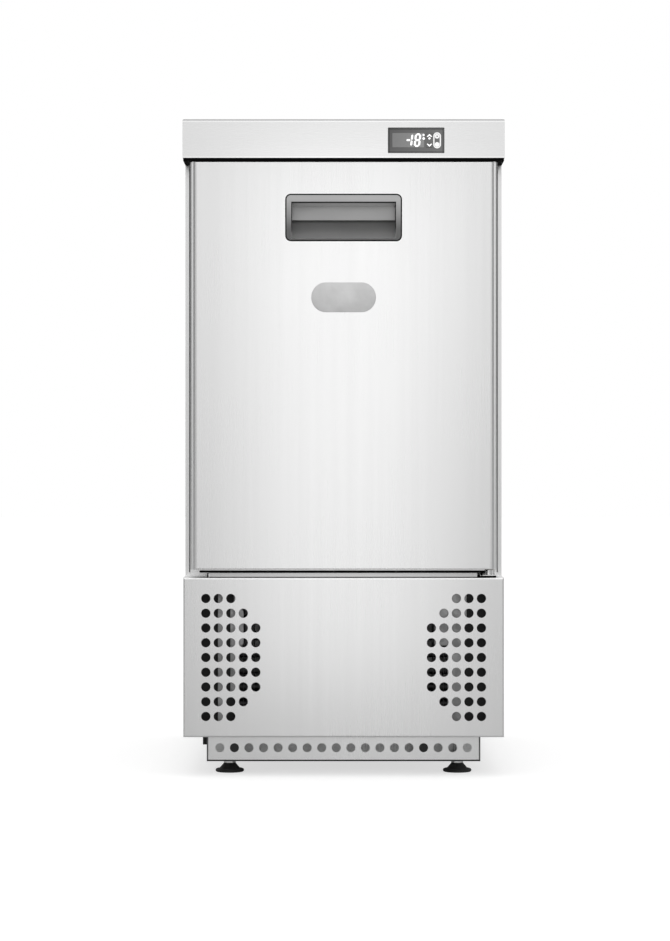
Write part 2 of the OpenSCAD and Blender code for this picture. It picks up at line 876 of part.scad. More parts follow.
// Feet, drawn on the Z axis

module pad() color("black") difference() {
  neck = stud_hex / 2 + pad_neck;
  rotate_extrude() union() {
    square([pad_d / 2 - pad_rim, 2 * pad_rim]);
    translate([pad_d / 2 - pad_rim, pad_rim]) circle(pad_rim);
    polygon([[0, 0], [pad_d / 2 - 2 * pad_rim, pad_slope], [neck, pad_h - pad_edge],
      [neck - pad_edge / 2, pad_h], [0, pad_h]]);
  }
  translate([0, 0, stud_seat]) cylinder(d = stud_d + 2 * close_fit, h = pad_h);
  translate([-pad_d, -pad_d, -pad_d]) cube([2 * pad_d, 2 * pad_d, pad_d]);
}

module stud() color("silver") {
  translate([0, 0, stud_seat]) cylinder(d = stud_d, h = plinth_gap - stud_seat + stud_len);
  translate([0, 0, pad_h]) cylinder(d = stud_hex / cos(30), h = plinth_gap - fit - pad_h, $fn = 6);
}

module front_left_pad() translate([-foot_x, foot_y[0], 0]) pad();
module front_right_pad() translate([foot_x, foot_y[0], 0]) pad();
module rear_left_pad() translate([-foot_x, foot_y[1], 0]) pad();
module rear_right_pad() translate([foot_x, foot_y[1], 0]) pad();
module front_left_stud() translate([-foot_x, foot_y[0], 0]) stud();
module front_right_stud() translate([foot_x, foot_y[0], 0]) stud();
module rear_left_stud() translate([-foot_x, foot_y[1], 0]) stud();
module rear_right_stud() translate([foot_x, foot_y[1], 0]) stud();

// Compressor

module at_mounts() for (i = [-1, 1], j = [-1, 1])
  translate([comp_x + i * mount_dx, comp_y + j * mount_dy, base_top]) children();

// Outline of the drawn shell: domed top and bottom with the weld seam proud of the middle
module shell_profile() {
  r = comp_d / 2 - seam_out;
  translate([0, comp_dome]) square([r, comp_h - 2 * comp_dome]);
  square([r - comp_dome, comp_h]);
  for (z = [comp_dome, comp_h - comp_dome]) translate([r - comp_dome, z]) intersection() {
    circle(comp_dome);
    translate([0, -comp_dome]) square([comp_dome, 2 * comp_dome]);
  }
  translate([0, comp_seam_z]) square([comp_d / 2, comp_seam_t]);
}

module compressor() color("black") {
  translate([comp_x, comp_y, comp_low]) {
    for (s = [-1, 1]) translate([s * comp_mid / 2, 0, 0]) rotate([0, 0, s > 0 ? -90 : 90])
      rotate_extrude(angle = 180) shell_profile();
    translate([-comp_mid / 2, 0, 0]) rotate([90, 0, 90]) linear_extrude(comp_mid) {
      shell_profile();
      mirror([1, 0]) shell_profile();
    }
  }
  difference() {
    translate([comp_x, comp_y, base_top + mount_h]) linear_extrude(comp_foot)
      rounded(2 * mount_dx + mount_d, 2 * mount_dy + mount_d, mount_d / 2);
    at_mounts() translate([0, 0, mount_h - past])
      cylinder(d = mount_stem + 2 * close_fit, h = comp_foot + 2 * past);
  }
}

module compressor_mounts() color("black") at_mounts() {
  difference() {
    union() {
      cylinder(d = mount_d, h = mount_h);
      cylinder(d = mount_stem, h = mount_h + comp_foot);
      translate([0, 0, mount_h + comp_foot]) cylinder(d = mount_cap, h = comp_foot);
    }
    translate([0, 0, -past]) cylinder(d = mount_stem / 2, h = mount_h + 2 * comp_foot + 2 * past);
  }
}

module terminal_box() color("darkslategray")
  translate([comp_x + comp_end, comp_y, comp_low + comp_seam_z]) rotate([90, 0, 90])
    linear_extrude(box_t) rounded(box_w, box_h, box_r);

// Shallow tray over the compressor, warmed by it, that catches the drained water
module vaporiser_tray() color("dimgray") difference() {
  translate([tray_x[0], tray_y[0], comp_top]) cube([tray_x[1] - tray_x[0], tray_y[1] - tray_y[0], tray_h]);
  translate([tray_x[0] + tray_t, tray_y[0] + tray_t, comp_top + tray_t])
    cube([tray_x[1] - tray_x[0] - 2 * tray_t, tray_y[1] - tray_y[0] - 2 * tray_t, tray_h]);
}

// Condenser

function cond_tube_z() = cond_low + cond_tube_pitch / 2;

module coil_holes(y_list, z, rows, pitch, d)
  for (y = y_list, i = [0 : rows - 1]) translate([y, z + i * pitch]) circle(d = d);

module condenser_fins() color("black") {
  n = floor(cond_w / cond_fin_pitch);
  for (i = [0 : n - 1]) across((i - (n - 1) / 2) * cond_fin_pitch - fin_t / 2, fin_t) difference() {
    translate([cond_front, cond_low]) square([cond_d, cond_h]);
    coil_holes(cond_y, cond_tube_z(), cond_rows, cond_tube_pitch, tube_d + 2 * close_fit);
  }
}

module condenser_tube() color("peru") {
  end_x = cond_plate_x + cond_bend;
  top_tube = cond_tube_z() + (cond_rows - 1) * cond_tube_pitch;
  for (y = cond_y) serpentine(-end_x, end_x, y, cond_tube_z(), cond_rows, cond_tube_pitch, tube_d);
  translate([-end_x, (cond_y[0] + cond_y[1]) / 2, top_tube]) rotate([0, 0, 90])
    rotate_extrude(angle = 180) translate([(cond_y[1] - cond_y[0]) / 2, 0]) circle(d = tube_d);
}

module condenser_frame() color("silver") {
  h = cond_low + cond_h + cond_over - base_top;
  for (s = [0, 1]) mirror([s, 0, 0]) {
    across(cond_plate_x, cond_plate_t) difference() {
      translate([cond_front, base_top]) square([cond_d, h]);
      coil_holes(cond_y, cond_tube_z(), cond_rows, cond_tube_pitch, tube_d + 2 * close_fit);
    }
    translate([cond_plate_x, cond_front - cond_plate_t, base_top]) cube([cond_flange, cond_plate_t, h]);
    translate([cond_plate_x + cond_plate_t, cond_front, base_top])
      cube([cond_flange - cond_plate_t, cond_d, cond_plate_t]);
  }
  difference() {
    union() {
      translate([-cond_plate_x - cond_plate_t, cond_back, base_top])
        cube([2 * (cond_plate_x + cond_plate_t), cond_plate_t, h]);
      drill_y(0, cond_fan_z, cond_fan_d + 2 * (fan_gap + fan_ring_t), cond_back, fan_y + fan_depth);
    }
    drill_y(0, cond_fan_z, cond_fan_d + 2 * fan_gap, cond_back - past, fan_y + fan_depth + past);
  }
}

// Axial fan on the Z axis: a hub and cambered blades, each a bent strip cut to its outline
// Section of a blade across its width: two arcs about one centre, from its front edge to its rear edge
function blade_section(chord, depth) = let (
    run = norm([chord, depth]),
    half = asin(run / 2 / blade_bow),
    along = [chord, depth] / run,
    up = [-depth, chord] / run,
    centre = [0, depth / 2] + up * blade_bow * cos(half),
    arc = function (r, side) [for (i = [0 : blade_steps])
      let (a = side * half * (2 * i / blade_steps - 1)) centre + r * (along * sin(a) - up * cos(a))])
  concat(arc(blade_bow, 1), arc(blade_bow - blade_t, -1));

// Seen along the shaft a blade widens from its root, inside the hub's wall, to its tip
module blade_outline(tip, hub, chord) difference() {
  intersection() {
    rotate(180) circle(tip);
    polygon([[0, -chord * blade_root / 2], [tip + past, -chord / 2], [tip + past, chord / 2],
      [0, chord * blade_root / 2]]);
  }
  rotate(180) circle(hub - hub_wall / 2);
}

module blade(tip, depth, hub, chord) intersection() {
  translate([0, 0, blade_edge]) linear_extrude(depth - 2 * blade_edge) blade_outline(tip, hub, chord);
  rotate([90, 0, 90]) linear_extrude(tip + past) polygon(blade_section(chord, depth));
}

module fan(tip, depth, blades, hub, shaft) difference() {
  union() {
    cylinder(r = hub, h = depth);
    for (i = [0 : blades - 1]) rotate((i + 0.5) * 360 / blades) blade(tip, depth, hub, hub * blade_reach);
  }
  translate([0, 0, hub_floor]) cylinder(r = hub - hub_wall, h = depth);
  translate([0, 0, -past]) cylinder(d = shaft + 2 * fit, h = depth);
}

module motor(back, hub_gap) {
  cylinder(d = shaft_d, h = back);
  translate([0, 0, hub_gap]) cylinder(d = motor_d, h = back - hub_gap);
}

module condenser_fan() color("silver") translate([0, fan_y, cond_fan_z]) rotate([-90, 0, 0])
  fan(cond_fan_d / 2, fan_depth, fan_blades, cond_hub, shaft_d);

// Motor behind the fan with four flat arms to the rim of the fan ring
module condenser_fan_motor() color("dimgray") translate([0, fan_y, cond_fan_z]) {
  ring_r = cond_fan_d / 2 + fan_gap;
  back = fan_depth + fan_motor_gap;
  rotate([-90, 0, 0]) motor(back + fan_motor_len, back);
  for (a = [45 : 90 : 315]) rotate([0, a, 0])
    translate([-fan_arm_w / 2, fan_depth, 0]) {
      translate([0, fan_motor_gap, motor_d / 2 - arm_root])
        cube([fan_arm_w, fan_arm_t, ring_r + fan_ring_t - motor_d / 2 + arm_root]);
      translate([0, 0, ring_r]) cube([fan_arm_w, fan_motor_gap + fan_arm_t, fan_ring_t]);
    }
}

// Pipes

module refrigerant_pipes() color("peru") {
  stub_x = comp_x - comp_end + seam_out;
  end_x = -(cond_plate_x + cond_bend);
  feed_z = cond_tube_z();
  out_z = comp_low + discharge_up;
  up_z = comp_low + suction_up;
  drier_x = left_run + run_step;
  drier_y = [cond_back + drier_back, cond_back + drier_back + drier_l];
  evap_z = evap_low + evap_pitch / 2;
  evap_x = -(evap_w / 2 + evap_bend);
  discharge = [[stub_x, comp_y, out_z], [left_run, comp_y, out_z], [left_run, cond_y[0], out_z],
    [left_run, cond_y[0], feed_z], [end_x, cond_y[0], feed_z]];
  liquid = [[end_x, cond_y[1], feed_z], [drier_x, cond_y[1], feed_z], [drier_x, drier_y[0], feed_z]];
  after = [[drier_x, drier_y[1], feed_z], [drier_x, evap_y[1], feed_z],
    [suction_x, evap_y[1], feed_z], [suction_x, evap_y[1], evap_z], [evap_x, evap_y[1], evap_z]];
  suction = [[stub_x, comp_y, up_z], [suction_x, comp_y, up_z], [suction_x, evap_y[0], up_z],
    [suction_x, evap_y[0], evap_z], [evap_x, evap_y[0], evap_z]];
  tube_run(discharge, pipe_r, discharge_d);
  tube_run(liquid, pipe_r - 1, discharge_d);
  tube_run(after, liquid_r, liquid_d);
  tube_run(suction, pipe_r, suction_d);
  drill_y(drier_x, feed_z, drier_d, drier_y[0] + drier_taper, drier_y[1] - drier_taper);
  for (end = [0, 1]) translate([drier_x, drier_y[end], feed_z]) mirror([0, end, 0]) rotate([-90, 0, 0])
    cylinder(d1 = suction_d, d2 = drier_d, h = drier_taper);
}

// Evaporator

module evaporator_fins() color("silver") {
  n = floor(evap_w / evap_fin_pitch);
  plate_x = evap_w / 2 + evap_plate_gap;
  for (i = [0 : n - 1]) across((i - (n - 1) / 2) * evap_fin_pitch - fin_t / 2, fin_t) difference() {
    translate([evap_front, evap_low]) square([evap_back - evap_front, evap_h]);
    coil_holes(evap_y, evap_low + evap_pitch / 2, evap_rows, evap_pitch, tube_d + 2 * close_fit);
  }
  for (s = [-1, 1]) across(s * plate_x - evap_plate_t / 2, evap_plate_t) difference() {
    translate([evap_front, evap_low - evap_plate_over])
      square([liner_back - evap_front, evap_h + 2 * evap_plate_over]);
    coil_holes(evap_y, evap_low + evap_pitch / 2, evap_rows, evap_pitch, tube_d + 2 * close_fit);
  }
}

module evaporator_tube() color("peru") {
  end_x = evap_w / 2 + evap_bend;
  z = evap_low + evap_pitch / 2;
  for (y = evap_y) serpentine(-end_x, end_x, y, z, evap_rows, evap_pitch, tube_d);
  translate([-end_x, (evap_y[0] + evap_y[1]) / 2, z + (evap_rows - 1) * evap_pitch]) rotate([0, 0, 90])
    rotate_extrude(angle = 180) translate([(evap_y[1] - evap_y[0]) / 2, 0]) circle(d = tube_d);
}

// Cover in front of the evaporator: pressed fan guard above, return slots below, sides to the back wall
module evaporator_cover() color("whitesmoke") {
  h = cover_high - cover_low;
  r = evap_fan_d / 2 + guard_gap;
  x = liner_x - cover_gap;
  upright(cover_y, sheet_t) difference() {
    translate([-x, cover_low]) square([2 * x, h]);
    translate([0, evap_fan_z]) difference() {
      circle(r);
      for (i = [1 : guard_rings]) difference() {
        circle(r * i / guard_rings - guard_gap);
        circle(r * i / guard_rings - guard_gap - guard_wire);
      }
      circle(guard_hub);
      for (a = [0, 60, 120]) rotate(a) square([2 * r, guard_spoke], center = true);
    }
    for (i = [-return_n : return_n]) translate([i * return_pitch, cover_low + return_up])
      rounded(return_w, return_h, return_w / 2 - hair);
  }
  for (s = [0, 1]) mirror([s, 0, 0]) translate([x - sheet_t, cover_y + sheet_t, cover_low])
    cube([sheet_t, liner_back - cover_y - sheet_t, h]);
}

module evaporator_fan() color("dimgray") translate([0, evap_fan_y, evap_fan_z]) rotate([-90, 0, 0])
  fan(evap_fan_d / 2, evap_fan_depth, fan_blades, evap_hub, shaft_d);

module evaporator_fan_motor() color("dimgray") translate([0, evap_fan_y, evap_fan_z]) {
  back = evap_fan_depth + evap_motor_gap;
  seat = sheet_t - evap_fan_set;
  reach = evap_fan_d / 2 + evap_arm_out;
  rotate([-90, 0, 0]) motor(back + evap_motor_len, back);
  for (a = [45 : 90 : 315]) rotate([0, a, 0])
    translate([-evap_arm_w / 2, 0, 0]) {
      translate([0, back, motor_d / 2 - arm_root])
        cube([evap_arm_w, evap_arm_t, reach + fan_ring_t - motor_d / 2 + arm_root]);
      translate([0, seat, reach]) cube([evap_arm_w, back + evap_arm_t - seat, fan_ring_t]);
    }
}

// Tray under the evaporator with the spout that leads down to the vaporiser tray
module drain_tray() color("gainsboro") difference() {
  union() {
    translate([-evap_w / 2 - pan_side, evap_front - pan_front, liner_low + pan_rise])
      cube([evap_w + 2 * pan_side, liner_back - evap_front + pan_front, pan_h]);
    translate([drain_x, drain_y, comp_top + drain_over])
      cylinder(d = drain_d, h = liner_low + pan_rise + pan_floor - comp_top - drain_over);
    for (s = [-1, 1]) translate([s * pan_foot_x - pan_foot[0] / 2, evap_front + pan_front, liner_low])
      cube([pan_foot[0], pan_foot[1], pan_rise + pan_floor / 2]);
  }
  translate([-evap_w / 2, evap_front - pan_front + pan_side, liner_low + pan_rise + pan_floor])
    cube([evap_w, liner_back - evap_front + pan_front - 2 * pan_side, pan_h]);
  translate([drain_x, drain_y, comp_top])
    cylinder(d = drain_d - 2 * drain_wall, h = liner_low + pan_h - comp_top);
}

// Racking: two slotted channels on each side, hook clips and wire shelves

module racking() for (y = rack_y) difference() {
  translate([liner_x - rack_t, y - rack_w / 2, rack_low]) cube([rack_t, rack_w, rack_high - rack_low]);
  translate([liner_x - rack_t + sheet_t, y - rack_w / 2 + sheet_t, rack_low - past])
    cube([rack_t, rack_w - 2 * sheet_t, rack_high - rack_low + 2 * past]);
  for (i = [0 : floor((rack_high - rack_low - slot_first - slot_last) / slot_pitch)])
    translate([liner_x - rack_t - past, y - slot_size[0] / 2, slot_z(i)])
      cube([sheet_t + 2 * past, slot_size[0], slot_size[1]]);
}

module racking_right() color("lightgray") racking();

module racking_left() color("lightgray") mirror([1, 0, 0]) racking();

module shelf_clips() color("silver")
  for (s = [0, 1], y = rack_y, n = [lower_slot, upper_slot]) mirror([s, 0, 0]) {
    low = slot_z(n) - clip_drop;
    hook_z = slot_z(n) + (slot_size[1] - clip_hook[1]) / 2;
    translate([liner_x - rack_t - clip_t, y - clip_w / 2, low])
      cube([clip_t, clip_w, hook_z + clip_hook[1] - low]);
    translate([liner_x - rack_t, y - clip_w / 2, hook_z]) cube([clip_hook[0], clip_w, clip_hook[1]]);
    translate([shelf_x - rod_d, y - clip_w / 2, low])
      cube([liner_x - rack_t - shelf_x + rod_d, clip_w, clip_rest]);
  }

// A frame rod bent into a rectangle, two cross rods, and wires welded on top
module shelf(n) color("gainsboro") {
  z = slot_z(n) - clip_drop + clip_rest + rod_d / 2;
  xs = shelf_x - rod_d / 2;
  ys = [shelf_y[0] + rod_d / 2, shelf_y[1] - rod_d / 2];
  wires = floor((2 * xs - wire_pitch) / wire_pitch);
  tube_run([[0, ys[0], z], [xs, ys[0], z], [xs, ys[1], z], [-xs, ys[1], z], [-xs, ys[0], z], [0, ys[0], z]],
    shelf_bend, rod_d);
  for (y = [ys[0] + (ys[1] - ys[0]) / 3, ys[0] + (ys[1] - ys[0]) * 2 / 3])
    translate([-xs, y, z + weld]) rotate([0, 90, 0]) cylinder(d = rod_d - 1, h = 2 * xs);
  for (i = [0 : wires])
    translate([(i - wires / 2) * wire_pitch, ys[0] - 1, z + rod_d / 2 + wire_d / 2 - weld])
      rotate([-90, 0, 0]) cylinder(d = wire_d, h = ys[1] - ys[0] + 2);
}

module shelf_upper() shelf(upper_slot);

module shelf_lower() shelf(lower_slot);

// Hinges

module bracket(z) translate([hinge_x - bracket_in, bracket_y[0], z])
  cube([bracket_in + bracket_out, bracket_y[1] - bracket_y[0], bracket_t]);

module hinge_top() color("silver") {
  bracket(top_z - bracket_t);
  translate([hinge_x, hinge_y, door_high - pin_len])
    cylinder(d = hinge_pin_d, h = top_z - door_high + pin_len);
}

module hinge_bottom() color("silver") {
  bracket(panel_top);
  translate([hinge_x, hinge_y, panel_top]) cylinder(d = hinge_pin_d, h = door_gap_low + pin_len);
  translate([hinge_x, hinge_y, panel_top]) cylinder(d = collar_d, h = door_gap_low - bush_flange - fit);
}

// One flanged bush, its flange on the door's end face and its bore open to the outside
module bush() difference() {
  union() {
    cylinder(d = bush_d, h = bush_len);
    translate([0, 0, -bush_flange]) cylinder(d = bush_d + 2 * bush_lip, h = bush_flange);
  }
  translate([0, 0, -past - bush_flange]) cylinder(d = hinge_pin_d + 2 * fit, h = bush_len);
}

module at_bushes() for (s = [0, 1]) translate([hinge_x, hinge_y, s == 0 ? door_low : door_high])
  mirror([0, 0, s]) children();

module door_bushes() color("whitesmoke") at_bushes() bush();

// Door

// The door's outer form less a given wall, from its front face to its back plane
module door_form(wall)
  translate([0, door_back, door_mid])
    front_block(2 * (door_x - wall), door_h - 2 * wall, door_t - wall, door_r - wall,
      door_edge_r - wall / 2);

// Side view of the handle's recess: x is depth behind the front plane, y is height about its centre.
// It rises behind the top lip for the fingers, and its floor slopes forward to the lower edge.
module recess_profile(grow) {
  top = handle_h / 2 - handle_lip;
  low = -handle_h / 2 + handle_low;
  polygon([[-past, top + grow], [lip_d, top + grow], [lip_d + grow / 2, top + lip_bend + grow],
    [lip_d + lip_rise / 2, top + lip_rise + grow], [handle_d - back_in, top + lip_rise + grow],
    [handle_d - back_in / 2 + grow, top + lip_rise / 2 + grow], [handle_d + grow, top - lip_rise / 2],
    [handle_d + grow, back_foot - grow / 2], [handle_d - back_in / 2 + grow / 2, foot_rise - grow],
    [slope_d[0], low + slope_up[0] - grow], [slope_d[1], low + slope_up[1] - grow], [-past, low - grow]]);
}

module recess(grow) {
  w = handle_w - 2 * handle_side + 2 * grow;
  translate([-w / 2, front_y, handle_z]) rotate([90, 0, 90]) linear_extrude(w) recess_profile(grow);
}

// Frame round the recess: its face bows forward between its upper and lower edges
module bezel() {
  n = bezel_steps;
  t = door_front - front_y;
  bow = [for (k = [-n : n]) [(t - bezel_edge) * pow(k / n, 2), k / n * handle_h / 2]];
  translate([0, 0, handle_z]) intersection() {
    upright(front_y, t) rounded(handle_w, handle_h, handle_r);
    translate([-handle_w / 2, front_y, 0]) rotate([90, 0, 90]) linear_extrude(handle_w)
      polygon(concat(bow, [[t, handle_h / 2], [t, -handle_h / 2]]));
  }
}

module door_handle() color("gray") difference() {
  union() {
    bezel();
    intersection() {
      recess(handle_t);
      translate([-half_w, front_y, 0]) cube([body_w, door_t, body_h]);
    }
  }
  recess(0);
}

module handle_hole(grow) intersection() {
  recess(handle_t + grow);
  translate([-half_w, door_front - past, 0]) cube([body_w, door_t, body_h]);
}

// Space inside the door's steel pan
module door_inside() intersection() {
  door_form(sheet_t);
  translate([-half_w, front_y, 0]) cube([body_w, door_back - sheet_t - front_y, body_h]);
}

module door_skin() color("gainsboro") difference() {
  door_form(0);
  door_inside();
  translate([-dl_x, door_back - 2 * sheet_t, door_mid - dl_h / 2]) cube([2 * dl_x, 3 * sheet_t, dl_h]);
  handle_hole(close_fit);
  at_bushes() translate([0, 0, -past]) cylinder(d = bush_d + 2 * close_fit, h = 3 * past);
}

// Section of the door liner from its edge inwards: gasket groove, sloped ring, start of the panel
function liner_face() = [[0, 0], [groove_u[0], 0], [groove_u[0], -groove_d], [groove_u[1], -groove_d],
  [groove_u[1], 0], [dyke_u, 0], [dyke_u + dyke_slope, dyke_h], [dyke_u + dyke_slope + dyke_top, dyke_h],
  [dyke_end, dl_t], [dyke_end + dl_run, dl_t]];

function liner_back_face() = [[dyke_end + dl_run, 0], [dyke_end - dl_corner, 0],
  [dyke_end - dyke_slope - dl_corner, dyke_h - dl_t], [dyke_u + dyke_slope + dl_corner, dyke_h - dl_t],
  [dyke_u + dl_corner, -dl_t], [groove_u[1] + dl_t, -dl_t], [groove_u[1] + dl_t, -groove_d - dl_t],
  [groove_u[0] - dl_t, -groove_d - dl_t], [groove_u[0] - dl_t, -dl_t], [0, -dl_t]];

module door_liner() color("whitesmoke") on_door_back() {
  in = dyke_end + dl_run;
  mitred_ring(2 * dl_x, dl_h, in) polygon(concat(liner_face(), liner_back_face()));
  translate([-dl_x + in, -dl_h / 2 + in, 0]) cube([2 * (dl_x - in), dl_h - 2 * in, dl_t]);
}

module door_foam() color("khaki") difference() {
  in = dyke_end + dl_run;
  union() {
    difference() {
      door_inside();
      translate([-dl_x, door_back - dl_t, door_mid - dl_h / 2]) cube([2 * dl_x, dl_t, dl_h]);
    }
    on_door_back() {
      mitred_ring(2 * dl_x, dl_h, in) polygon([[dyke_u + dl_corner, -dl_t],
        [dyke_u + dyke_slope + dl_corner, dyke_h - dl_t], [dyke_end - dyke_slope - dl_corner, dyke_h - dl_t],
        [dyke_end - dl_corner, 0], [in, 0], [in, -dl_t]]);
      translate([-dl_x + in, -dl_h / 2 + in, -dl_t]) cube([2 * (dl_x - in), dl_h - 2 * in, dl_t]);
    }
  }
  on_door_back() mitred_ring(2 * dl_x, dl_h, groove_u[1] + dl_t) polygon([[groove_u[0] - dl_t, dl_t],
    [groove_u[0] - dl_t, -groove_d - dl_t], [groove_u[1] + dl_t, -groove_d - dl_t],
    [groove_u[1] + dl_t, dl_t]]);
  recess(handle_t);
  at_bushes() translate([0, 0, -past]) cylinder(d = bush_d, h = bush_len + past);
}

// Section of the gasket: dart in the groove, base, bellows and the magnet's chamber
module gasket_profile() {
  reach = gasket_gap - fit;
  w = gasket_w;
  difference() {
    polygon([[0, 0], [groove_u[0] + dart, 0], [groove_u[0] + dart, -groove_d + dart],
      [groove_u[1] - dart, -groove_d + dart], [groove_u[1] - dart, 0], [w, 0], [w, gasket_base],
      [w - gasket_skirt, gasket_skirt], [w - gasket_waist, waist_h], [w - magnet_in, reach - magnet_h],
      [w - magnet_in, reach], [magnet_in, reach], [magnet_in, reach - magnet_h], [gasket_waist, waist_h],
      [gasket_skirt, gasket_skirt], [0, gasket_base]]);
    translate([(w - chamber[0]) / 2, chamber_base]) square([chamber[0], reach - magnet_h - chamber[1]]);
  }
}

module door_gasket() color("lightgray") on_door_back()
  mitred_ring(2 * dl_x, dl_h, gasket_w) gasket_profile();

worktop();
worktop_core();
controller_housing();
display_lens();
key_up();
key_down();
key_info();
key_standby();
left_side_panel();
right_side_panel();
back_panel();
rear_grille();
cabinet_top();
cabinet_floor();
cabinet_foam();
inner_liner();
breaker_frame();
lower_panel();
base_plate();
plinth();
rear_channel();
front_left_pad();
front_right_pad();
rear_left_pad();
rear_right_pad();
front_left_stud();
front_right_stud();
rear_left_stud();
rear_right_stud();
drain_plug();
compressor();
compressor_mounts();
terminal_box();
vaporiser_tray();
condenser_fins();
condenser_tube();
condenser_frame();
condenser_fan();
condenser_fan_motor();
refrigerant_pipes();
evaporator_fins();
evaporator_tube();
evaporator_cover();
evaporator_fan();
evaporator_fan_motor();
drain_tray();
racking_left();
racking_right();
shelf_clips();
shelf_upper();
shelf_lower();
hinge_top();
hinge_bottom();
door_skin();
door_foam();
door_liner();
door_gasket();
door_handle();
door_bushes();
mains_gland();
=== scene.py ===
import json
import math

import bpy
import numpy as np
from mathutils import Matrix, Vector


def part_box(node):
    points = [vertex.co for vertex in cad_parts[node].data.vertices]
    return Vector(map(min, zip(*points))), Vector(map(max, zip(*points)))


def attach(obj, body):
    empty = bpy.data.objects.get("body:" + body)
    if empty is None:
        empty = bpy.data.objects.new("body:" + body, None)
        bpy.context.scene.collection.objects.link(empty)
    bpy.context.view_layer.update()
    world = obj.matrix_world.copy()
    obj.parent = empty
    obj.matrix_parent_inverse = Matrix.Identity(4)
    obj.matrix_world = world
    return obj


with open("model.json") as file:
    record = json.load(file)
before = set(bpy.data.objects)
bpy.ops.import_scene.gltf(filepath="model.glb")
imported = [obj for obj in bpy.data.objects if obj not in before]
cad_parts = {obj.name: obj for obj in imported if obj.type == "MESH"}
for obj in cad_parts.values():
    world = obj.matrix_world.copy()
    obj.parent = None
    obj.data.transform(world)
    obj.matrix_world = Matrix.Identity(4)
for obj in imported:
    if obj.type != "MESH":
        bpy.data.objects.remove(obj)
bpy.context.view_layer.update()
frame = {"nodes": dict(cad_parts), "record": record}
record = frame["record"]
nodeObjects = frame["nodes"]
scene = bpy.context.scene
print("freezer: frame loaded,", len(nodeObjects), "nodes")


# camera, at the photograph's place: level, a little under the middle of the freezer's height
cameraSettings = {
    "imageHeight": 941,         # pixels of the photograph
    "focalPixels": 2982,
    "sensor": 36,               # mm along the long side
    "place": (-0.0107, -4.0, 0.380),
    "clip": (0.05, 100),
}


def addCamera(settings):
    data = bpy.data.cameras.new("studioCamera")
    data.sensor_width = settings["sensor"]
    data.lens = settings["focalPixels"] / settings["imageHeight"] * settings["sensor"]
    data.clip_start, data.clip_end = settings["clip"]
    camera = bpy.data.objects.new("studioCamera", data)
    camera.location = settings["place"]
    camera.rotation_euler = (math.pi / 2, 0, 0)
    scene.collection.objects.link(camera)
    scene.camera = camera


addCamera(cameraSettings)
scene.view_settings.view_transform = "Standard"
print("freezer: camera set")


# what the finishes and the trim take their places from; a box is a (low corner, high corner)
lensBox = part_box("display_lens")
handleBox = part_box("door_handle")
worktopLow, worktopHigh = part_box("worktop")
doorLow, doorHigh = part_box("door_skin")
plinthLow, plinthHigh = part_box("plinth")
hingeLow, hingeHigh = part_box("hinge_top")
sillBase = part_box("hinge_bottom")[0]
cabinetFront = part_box("cabinet_top")[0].y
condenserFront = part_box("condenser_frame")[0].y


def frontMiddle(box, right=0.0, up=0.0):
    # middle of a box's front face, moved right and up
    low, high = box
    return (low.x + high.x) / 2 + right, low.y, (low.z + high.z) / 2 + up


# small helpers for node trees
def srgb(r, g, b):
    # linear colour of a screen colour given as 0 to 255
    c = np.array([r, g, b]) / 255
    linear = np.where(c <= 0.04045, c / 12.92, ((c + 0.055) / 1.055) ** 2.4)
    return (*linear.tolist(), 1.0)


def grey(level):
    return srgb(level, level, level)


def emptyTree(owner):
    # node tree of a material or a world, with nothing in it yet
    owner.use_nodes = True
    owner.node_tree.nodes.clear()
    return owner.node_tree


def addNode(tree, kind, **values):
    node = tree.nodes.new(kind)
    for key, value in values.items():
        setattr(node, key, value)
    return node


def feed(tree, value, socket):
    # a socket is linked, anything else becomes the socket's own value
    if isinstance(value, bpy.types.NodeSocket):
        tree.links.new(value, socket)
    else:
        socket.default_value = value


def mathNode(tree, operation, *values):
    node = addNode(tree, "ShaderNodeMath", operation=operation)
    for value, socket in zip(values, node.inputs):
        feed(tree, value, socket)
    return node.outputs[0]


def vectorNode(tree, operation, *values):
    node = addNode(tree, "ShaderNodeVectorMath", operation=operation)
    for value, socket in zip(values, node.inputs):
        feed(tree, value, socket)
    return node.outputs["Value" if operation == "LENGTH" else "Vector"]


def enlarged(tree, vector, amount):
    # vector times one number that comes from a socket
    node = addNode(tree, "ShaderNodeVectorMath", operation="SCALE")
    tree.links.new(vector, node.inputs[0])
    tree.links.new(amount, node.inputs["Scale"])
    return node.outputs[0]


def addLinked(tree, kind, first):
    # a node whose first input is linked
    node = addNode(tree, kind)
    tree.links.new(first, node.inputs[0])
    return node


def apart(tree, vector):
    # the three numbers of a vector
    return addLinked(tree, "ShaderNodeSeparateXYZ", vector).outputs


def noise(tree, vector, scale=1.0, detail=3.0, roughness=0.5):
    node = addNode(tree, "ShaderNodeTexNoise")
    node.inputs["Scale"].default_value = scale
    node.inputs["Detail"].default_value = detail
    node.inputs["Roughness"].default_value = roughness
    tree.links.new(vector, node.inputs["Vector"])
    return node.outputs["Fac"]


def spread(tree, value, low, high, fromLow=0.3, fromHigh=0.7):
    # value carried from one range to another, held at the ends
    node = addNode(tree, "ShaderNodeMapRange", clamp=True)
    tree.links.new(value, node.inputs["Value"])
    node.inputs["From Min"].default_value = fromLow
    node.inputs["From Max"].default_value = fromHigh
    node.inputs["To Min"].default_value = low
    node.inputs["To Max"].default_value = high
    return node.outputs["Result"]


def stepAt(tree, value, start, soft):
    # 0 up to the start, 1 from a soft width past it
    return spread(tree, value, 0.0, 1.0, start, start + soft)


def blendColours(tree, factor, first, second):
    # each colour is four numbers or a socket
    node = addNode(tree, "ShaderNodeMix", data_type="RGBA")
    tree.links.new(factor, node.inputs["Factor"])
    feed(tree, first, node.inputs[6])
    feed(tree, second, node.inputs[7])
    return node.outputs[2]


